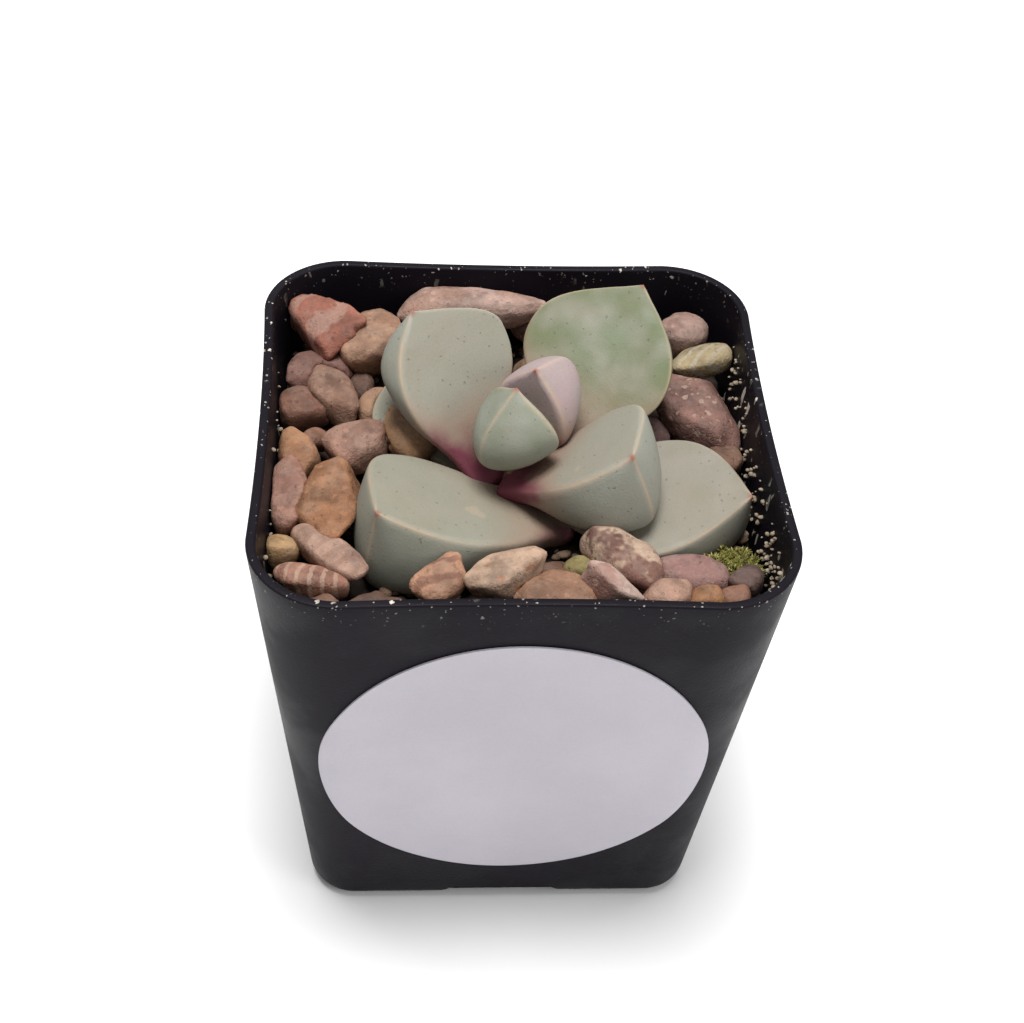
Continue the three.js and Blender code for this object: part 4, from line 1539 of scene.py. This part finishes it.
@dataclass
class GravelBed:
    """Worn river gravel round the plant, with small grit in the gaps."""

    depth: ClassVar[float] = 0.84
    warmth: ClassVar[Colour] = (1.0, 0.91, 0.82)
    pot: NurseryPot
    voxel: float = 0.3 * MM
    grit_low: float = 53.3 * MM
    grit_high: float = 54.6 * MM
    grit_count: int = 900
    crumb_count: int = 150
    crumbs_right: float = 0.85
    crumb_clusters: tuple[float, ...] = (14 * MM, 6 * MM, -1 * MM, -9 * MM, -16 * MM, -19 * MM)
    crumb_low: float = 55 * MM
    crumb_high: float = 61.5 * MM

    def stones(self) -> list[Stone]:
        """List the stones that show, with their colours and marks.

        Returns:
            The stones.
        """
        pale, dark = (196, 178, 164), (84, 62, 56)
        return [
            stone("rose_wedge", (150, 98, 84), (190, 164, 154), Veins.STREAK, 0.55, 0.9),
            stone("dark_red", (112, 80, 76), (150, 120, 110), Veins.CLOUDS, 0.4),
            stone("tan_upright", (166, 134, 114), (140, 104, 84), Veins.CLOUDS, 0.6),
            stone("tan_back", (180, 156, 150), (160, 116, 92), Veins.CLOUDS, 0.5),
            stone("brown_left", (118, 84, 72), (150, 112, 94), Veins.CLOUDS, 0.5),
            stone("brown_slope", (150, 120, 106), (120, 88, 72), Veins.CLOUDS, 0.5),
            stone("dark_gap", (88, 66, 58), (120, 92, 78)),
            stone("small_tan", (158, 128, 106), (130, 96, 76)),
            stone("ochre_long", (166, 130, 98), (190, 160, 130), Veins.CLOUDS, 0.5),
            stone("pink_tan", (160, 124, 110), (186, 158, 146), Veins.PATCHES, 0.4),
            stone("chip_brown", (134, 100, 84), (160, 130, 112)),
            stone("orange_left", (160, 122, 94), (138, 92, 62), Veins.CLOUDS, 0.6),
            stone("pink_left", (162, 126, 114), (132, 92, 80), Veins.CLOUDS, 0.5),
            stone("amber_slab", (160, 118, 88), (128, 84, 56), Veins.CLOUDS, 0.7),
            stone("yellow_bead", (170, 142, 106), (140, 108, 70)),
            stone("pink_slant", (166, 138, 126), (132, 96, 82), Veins.BANDS, 0.4, 1.1),
            stone("striped_left", (152, 112, 98), (200, 178, 162), Veins.BANDS, 0.65, 0.3),
            stone("striped_front", (172, 134, 112), (112, 74, 62), Veins.BANDS, 0.75, 1.5),
            stone("pale_spotted", (182, 158, 140), (168, 112, 74), Veins.SPOTS, 0.6),
            stone("tan_front", (156, 120, 98), (126, 90, 68), Veins.CLOUDS, 0.6),
            stone("green_chip", (138, 130, 88), (104, 92, 56)),
            stone("dark_chip", (96, 72, 62), (130, 100, 84)),
            stone("white_block", (180, 160, 154), (150, 98, 88), Veins.PATCHES, 0.6, 0.9),
            stone("cream_patched", (118, 86, 78), (206, 186, 168), Veins.PATCHES, 0.9, 2.2),
            stone("pink_long", (138, 108, 106), (172, 146, 142), Veins.SPECKLES, 0.4),
            stone("tan_small", (172, 140, 126), (140, 104, 88)),
            stone("ochre_small", (158, 116, 82), (186, 150, 116)),
            stone("brown_small", (130, 94, 78), (158, 126, 108)),
            stone("slate_corner", (96, 78, 76), (128, 106, 100), Veins.SPECKLES, 0.4),
            stone("pink_back", (164, 140, 134), (134, 98, 88), Veins.CLOUDS, 0.5),
            stone("yellow_back", (164, 152, 122), (190, 188, 176), Veins.BANDS, 0.8, 0.9),
            stone("mottled_large", (132, 100, 94), pale, Veins.SPECKLES, 0.65),
            stone("purple_gap", (104, 80, 82), (136, 108, 106)),
            stone("pink_gap", (154, 122, 114), dark, Veins.CLOUDS, 0.3),
        ]

    def build(self, effects: Effects) -> list[bpy.types.Object]:
        """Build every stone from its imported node.

        Args:
            effects: the shared surface effects.

        Returns:
            The stones.
        """
        slots = {part["node"]: part["material_slot"] for part in frame["record"]["subparts"]}
        looks = {f"stone_{s.name}": s.finish for s in self.stones()}
        plain = {"stone_tan": (150, 122, 100), "stone_brown": (122, 94, 80),
                 "stone_dark": (92, 70, 62)}
        pieces = []
        for number, node in enumerate(sorted(n for n in frame["nodes"] if n.startswith("stone_"))):
            slot = slots[node]
            look = looks.get(node) or stone(node, plain.get(slot, (140, 110, 92)),
                                            (110, 84, 72)).finish
            pieces.append(self._stone(node, slot, look.make(node, effects), number))
        return pieces

    def _stone(self, node: str, slot: str, finish: bpy.types.Material,
               number: int) -> bpy.types.Object:
        """Build one stone.

        Args:
            node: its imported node.
            slot: its material slot.
            finish: its material.
            number: sets its unevenness.

        Returns:
            The stone.
        """
        source = frame["nodes"][node]
        rough = bpy.data.objects.new("rough_stone", source.data.copy())
        rough.matrix_world = source.matrix_world.copy()
        bpy.context.scene.collection.objects.link(rough)
        remesh = rough.modifiers.new("even", "REMESH")
        remesh.mode, remesh.voxel_size, remesh.use_smooth_shade = "VOXEL", self.voxel, True
        soften = rough.modifiers.new("soften", "SMOOTH")
        soften.factor, soften.iterations = 0.5, 4
        place = np.array(rough.matrix_world)
        mesh = evaluated_copy(rough, node.replace("stone_", "river_stone_"))
        points = mesh_points(mesh) @ place[:3, :3].T + place[:3, 3]
        normals = mesh_normals(mesh) @ place[:3, :3].T
        broad = rough_field(points, 210, 2, 4.3 * number)
        fine = rough_field(points, 900, 3, 1.9 * number)
        lift = (0.24 + 0.26 * broad + 0.05 * fine) * MM
        moved = self.pot.hold(points + normals * lift[:, None], 0.1 * MM)
        mesh.vertices.foreach_set("co", moved.astype(np.float32).ravel())
        mesh.update()
        mesh.shade_smooth()
        mesh.materials.clear()
        mesh.materials.append(finish)
        piece = bpy.data.objects.new(mesh.name, mesh)
        bpy.context.scene.collection.objects.link(piece)
        stand_in(piece, slot, node)
        return piece

    def fill(self, finish: bpy.types.Material) -> bpy.types.Object:
        """Scatter grit over the soil between the stones.

        Args:
            finish: its look.

        Returns:
            The grit.
        """
        heap = GrainHeap(seed=41)
        half = self.pot.rim_half - self.pot.wall - 1.5 * MM
        for _ in range(self.grit_count):
            draw = heap.random
            size = draw.uniform(0.35, 1.15) ** 1.4 * MM
            x, y = draw.uniform(-half, half), draw.uniform(-half, half)
            z = draw.uniform(self.grit_low, self.grit_high) + 0.3 * size
            held = self.pot.hold(np.array([[x, y, z]]), size * 1.3 + 0.2 * MM)[0]
            heap.drop(tuple(held), size, draw.uniform(0.05, 1.0) ** 1.3)
        piece = heap.pour("gap_grit", finish)
        stand_in(piece, "potting_soil")
        return piece

    def crust(self, finish: bpy.types.Material) -> bpy.types.Object:
        """Stick small pale crumbs to the inside of the walls, most of them on the right.

        Args:
            finish: their look.

        Returns:
            The crumbs.
        """
        heap = GrainHeap(seed=23)
        draw = heap.random
        for _ in range(self.crumb_count):
            side = 1 if draw.random() < self.crumbs_right else -1
            cluster = draw.choice(self.crumb_clusters)
            size = draw.uniform(0.12, 0.42) * MM
            y = cluster + draw.gauss(0.0, 2.2) * MM
            z = draw.uniform(self.crumb_low, self.crumb_high)
            x = side * (self.pot.rim_half - self.pot.wall)
            held = self.pot.hold(np.array([[x, y, z]]), 0.5 * size)[0]
            heap.drop(tuple(held), size, draw.uniform(0.75, 1.0))
        piece = heap.pour("wall_crumbs", finish)
        stand_in(piece, "potting_soil")
        return piece


@dataclass
class MossCushion:
    """Low cushion of yellow-green moss in the front right corner."""

    pot: NurseryPot
    blades: int = 1500
    lumps: int = 46

    def build(self, finish: bpy.types.Material) -> bpy.types.Object:
        """Build the cushion from soft lumps and short pointed leaves.

        Args:
            finish: its look.

        Returns:
            The moss.
        """
        low, high = (np.array(corner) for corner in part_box("moss"))
        middle, reach = (low + high) / 2, (high - low) / 2
        heap = GrainHeap(seed=7, fineness=2)
        draw = heap.random
        tops = []
        for _ in range(self.lumps):
            angle, share = draw.uniform(0, 2 * math.pi), draw.random() ** 0.6 * 0.8
            x, y = share * math.cos(angle), share * math.sin(angle)
            z = 0.72 * math.sqrt(max(0.0, 1 - share ** 2)) * draw.uniform(0.6, 1.0)
            size = draw.uniform(0.55, 1.1) * MM
            spot = middle + reach * np.array([x, y, z]) - np.array([0, 0, 0.6 * size])
            spot = self.pot.hold(spot[None, :], size * 1.2 + 0.2 * MM)[0]
            heap.drop(tuple(spot), size, draw.uniform(0.1, 0.55), 0.8)
            tops.append((spot, size))
        for _ in range(self.blades):
            spot, size = draw.choice(tops)
            self._blade(heap, spot, size)
        piece = heap.pour("moss_cushion", finish)
        points = mesh_points(piece.data)
        points = self.pot.hold(points, 0.1 * MM)
        points[:, 2] = np.minimum(points[:, 2], high[2])
        piece.data.vertices.foreach_set("co", points.astype(np.float32).ravel())
        piece.data.update()
        stand_in(piece, "moss", "moss")
        return piece

    @staticmethod
    def _blade(heap: GrainHeap, spot: np.ndarray, size: float) -> None:
        """Add one pointed moss leaf growing out of a lump.

        Args:
            heap: what it is added to.
            spot: the lump's middle.
            size: the lump's radius.
        """
        draw = heap.random
        angle, lift = draw.uniform(0, 2 * math.pi), draw.uniform(0.0, 1.0)
        flat = math.sqrt(1 - lift ** 2)
        way = np.array([flat * math.cos(angle), flat * math.sin(angle), lift])
        side = np.cross(way, (0.2, -0.4, 0.9))
        side /= np.linalg.norm(side)
        over = np.cross(side, way)
        foot = spot + way * size * 0.55
        length, half = draw.uniform(0.45, 0.95) * MM, draw.uniform(0.1, 0.17) * MM
        ring = [foot + side * half * 0.6, foot + over * half * 0.4, foot - side * half * 0.6,
                foot - over * half * 0.4]
        belly = foot + way * length * 0.5 + over * 0.05 * length
        ring += [belly + side * half, belly + over * half * 0.4, belly - side * half,
                 belly - over * half * 0.4]
        points = np.array(ring + [foot + way * length])
        faces = bridge(4, 2) + [(4, 5, 8), (5, 6, 8), (6, 7, 8), (7, 4, 8), (3, 2, 1, 0)]
        heap.points.append(points)
        heap.faces += [tuple(heap.total + n for n in face) for face in faces]
        heap.tones += [draw.uniform(0.35, 1.0)] * len(points)
        heap.total += len(points)


# ------------------------------------------------------------------ studio
@dataclass
class Studio:
    """Pale floor, soft overhead light, a gentle fill and the camera."""

    focal: float = 62.25
    place: Point = (-0.016639, -0.163954, 0.207947)
    right: Point = (0.99725, -0.04853, 0.05594)
    up: Point = (-0.00634, 0.69672, 0.71731)
    back: Point = (-0.07379, -0.71570, 0.69450)

    def build(self) -> None:
        """Set up the camera, floor, lights and surroundings."""
        self._camera()
        self._floor()
        self._light("overhead", (-0.06, 0.1, 1.5), (0.0, 0.0, 0.05), 0.7, 27.0)
        self._light("side_fill", (1.1, -0.7, 0.75), (0.0, 0.0, 0.05), 0.6, 5.5)
        world = bpy.data.worlds.new("pale_room")
        world.use_nodes = True
        backdrop = world.node_tree.nodes["Background"]
        backdrop.inputs["Color"].default_value = (1.0, 1.0, 1.0, 1.0)
        backdrop.inputs["Strength"].default_value = 0.4
        bpy.context.scene.world = world
        bpy.context.scene.view_settings.view_transform = "Standard"

    def _camera(self) -> None:
        """Place the camera."""
        lens = bpy.data.cameras.new("camera")
        lens.lens, lens.sensor_width = self.focal, 36.0
        lens.clip_start, lens.clip_end = 0.01, 20.0
        camera = bpy.data.objects.new("camera", lens)
        axes = Matrix((self.right, self.up, self.back)).transposed().to_4x4()
        camera.matrix_world = Matrix.Translation(self.place) @ axes
        bpy.context.scene.collection.objects.link(camera)
        bpy.context.scene.camera = camera

    def _floor(self) -> None:
        """Lay the pale floor."""
        material, graph, shader = start_material("pale_floor")
        cloud = graph.noise(graph.place(), 3.0)
        graph.feed(shader.inputs["Base Color"],
                   graph.mix(cloud, (0.97, 0.97, 0.97), (0.93, 0.93, 0.93)))
        shader.inputs["Roughness"].default_value = 0.9
        shader.inputs["Specular IOR Level"].default_value = 0.1
        reach = 3.0
        points = np.array([(-reach, -reach, 0), (reach, -reach, 0), (reach, reach, 0),
                           (-reach, reach, 0)])
        make_piece("studio_floor", points, [(0, 1, 2, 3)], material)

    @staticmethod
    def _light(name: str, place: Point, target: Point, size: float, power: float) -> None:
        """Add a soft square light.

        Args:
            name: its name.
            place: where it hangs.
            target: what it faces.
            size: length of its sides, in metres.
            power: its power, in watts.
        """
        lamp = bpy.data.lights.new(name, "AREA")
        lamp.shape, lamp.size, lamp.energy = "SQUARE", size, power
        holder = bpy.data.objects.new(name, lamp)
        holder.location = place
        aim = Vector(target) - Vector(place)
        holder.rotation_euler = aim.to_track_quat("-Z", "Y").to_euler()
        bpy.context.scene.collection.objects.link(holder)


def main() -> None:
    """Build the potted plant and its studio."""
    logging.basicConfig(level=logging.INFO, format="%(message)s")
    Studio().build()
    effects = Effects()
    pot = NurseryPot()
    pot.build(PotPlastic().make(effects))
    PaperLabel(pot).build(LabelPaper().make(effects))
    SplitRock(pot).build(LeafSkin().make(effects))
    RootCrown().build(BARK.make(effects))
    PottingSoil(pot).build(SOIL.make(effects))
    bed = GravelBed(pot)
    bed.build(effects)
    bed.fill(GRIT.make(effects))
    bed.crust(CRUMBS.make(effects))
    MossCushion(pot).build(MOSS.make(effects))
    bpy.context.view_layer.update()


if __name__ == "__main__":
    main()
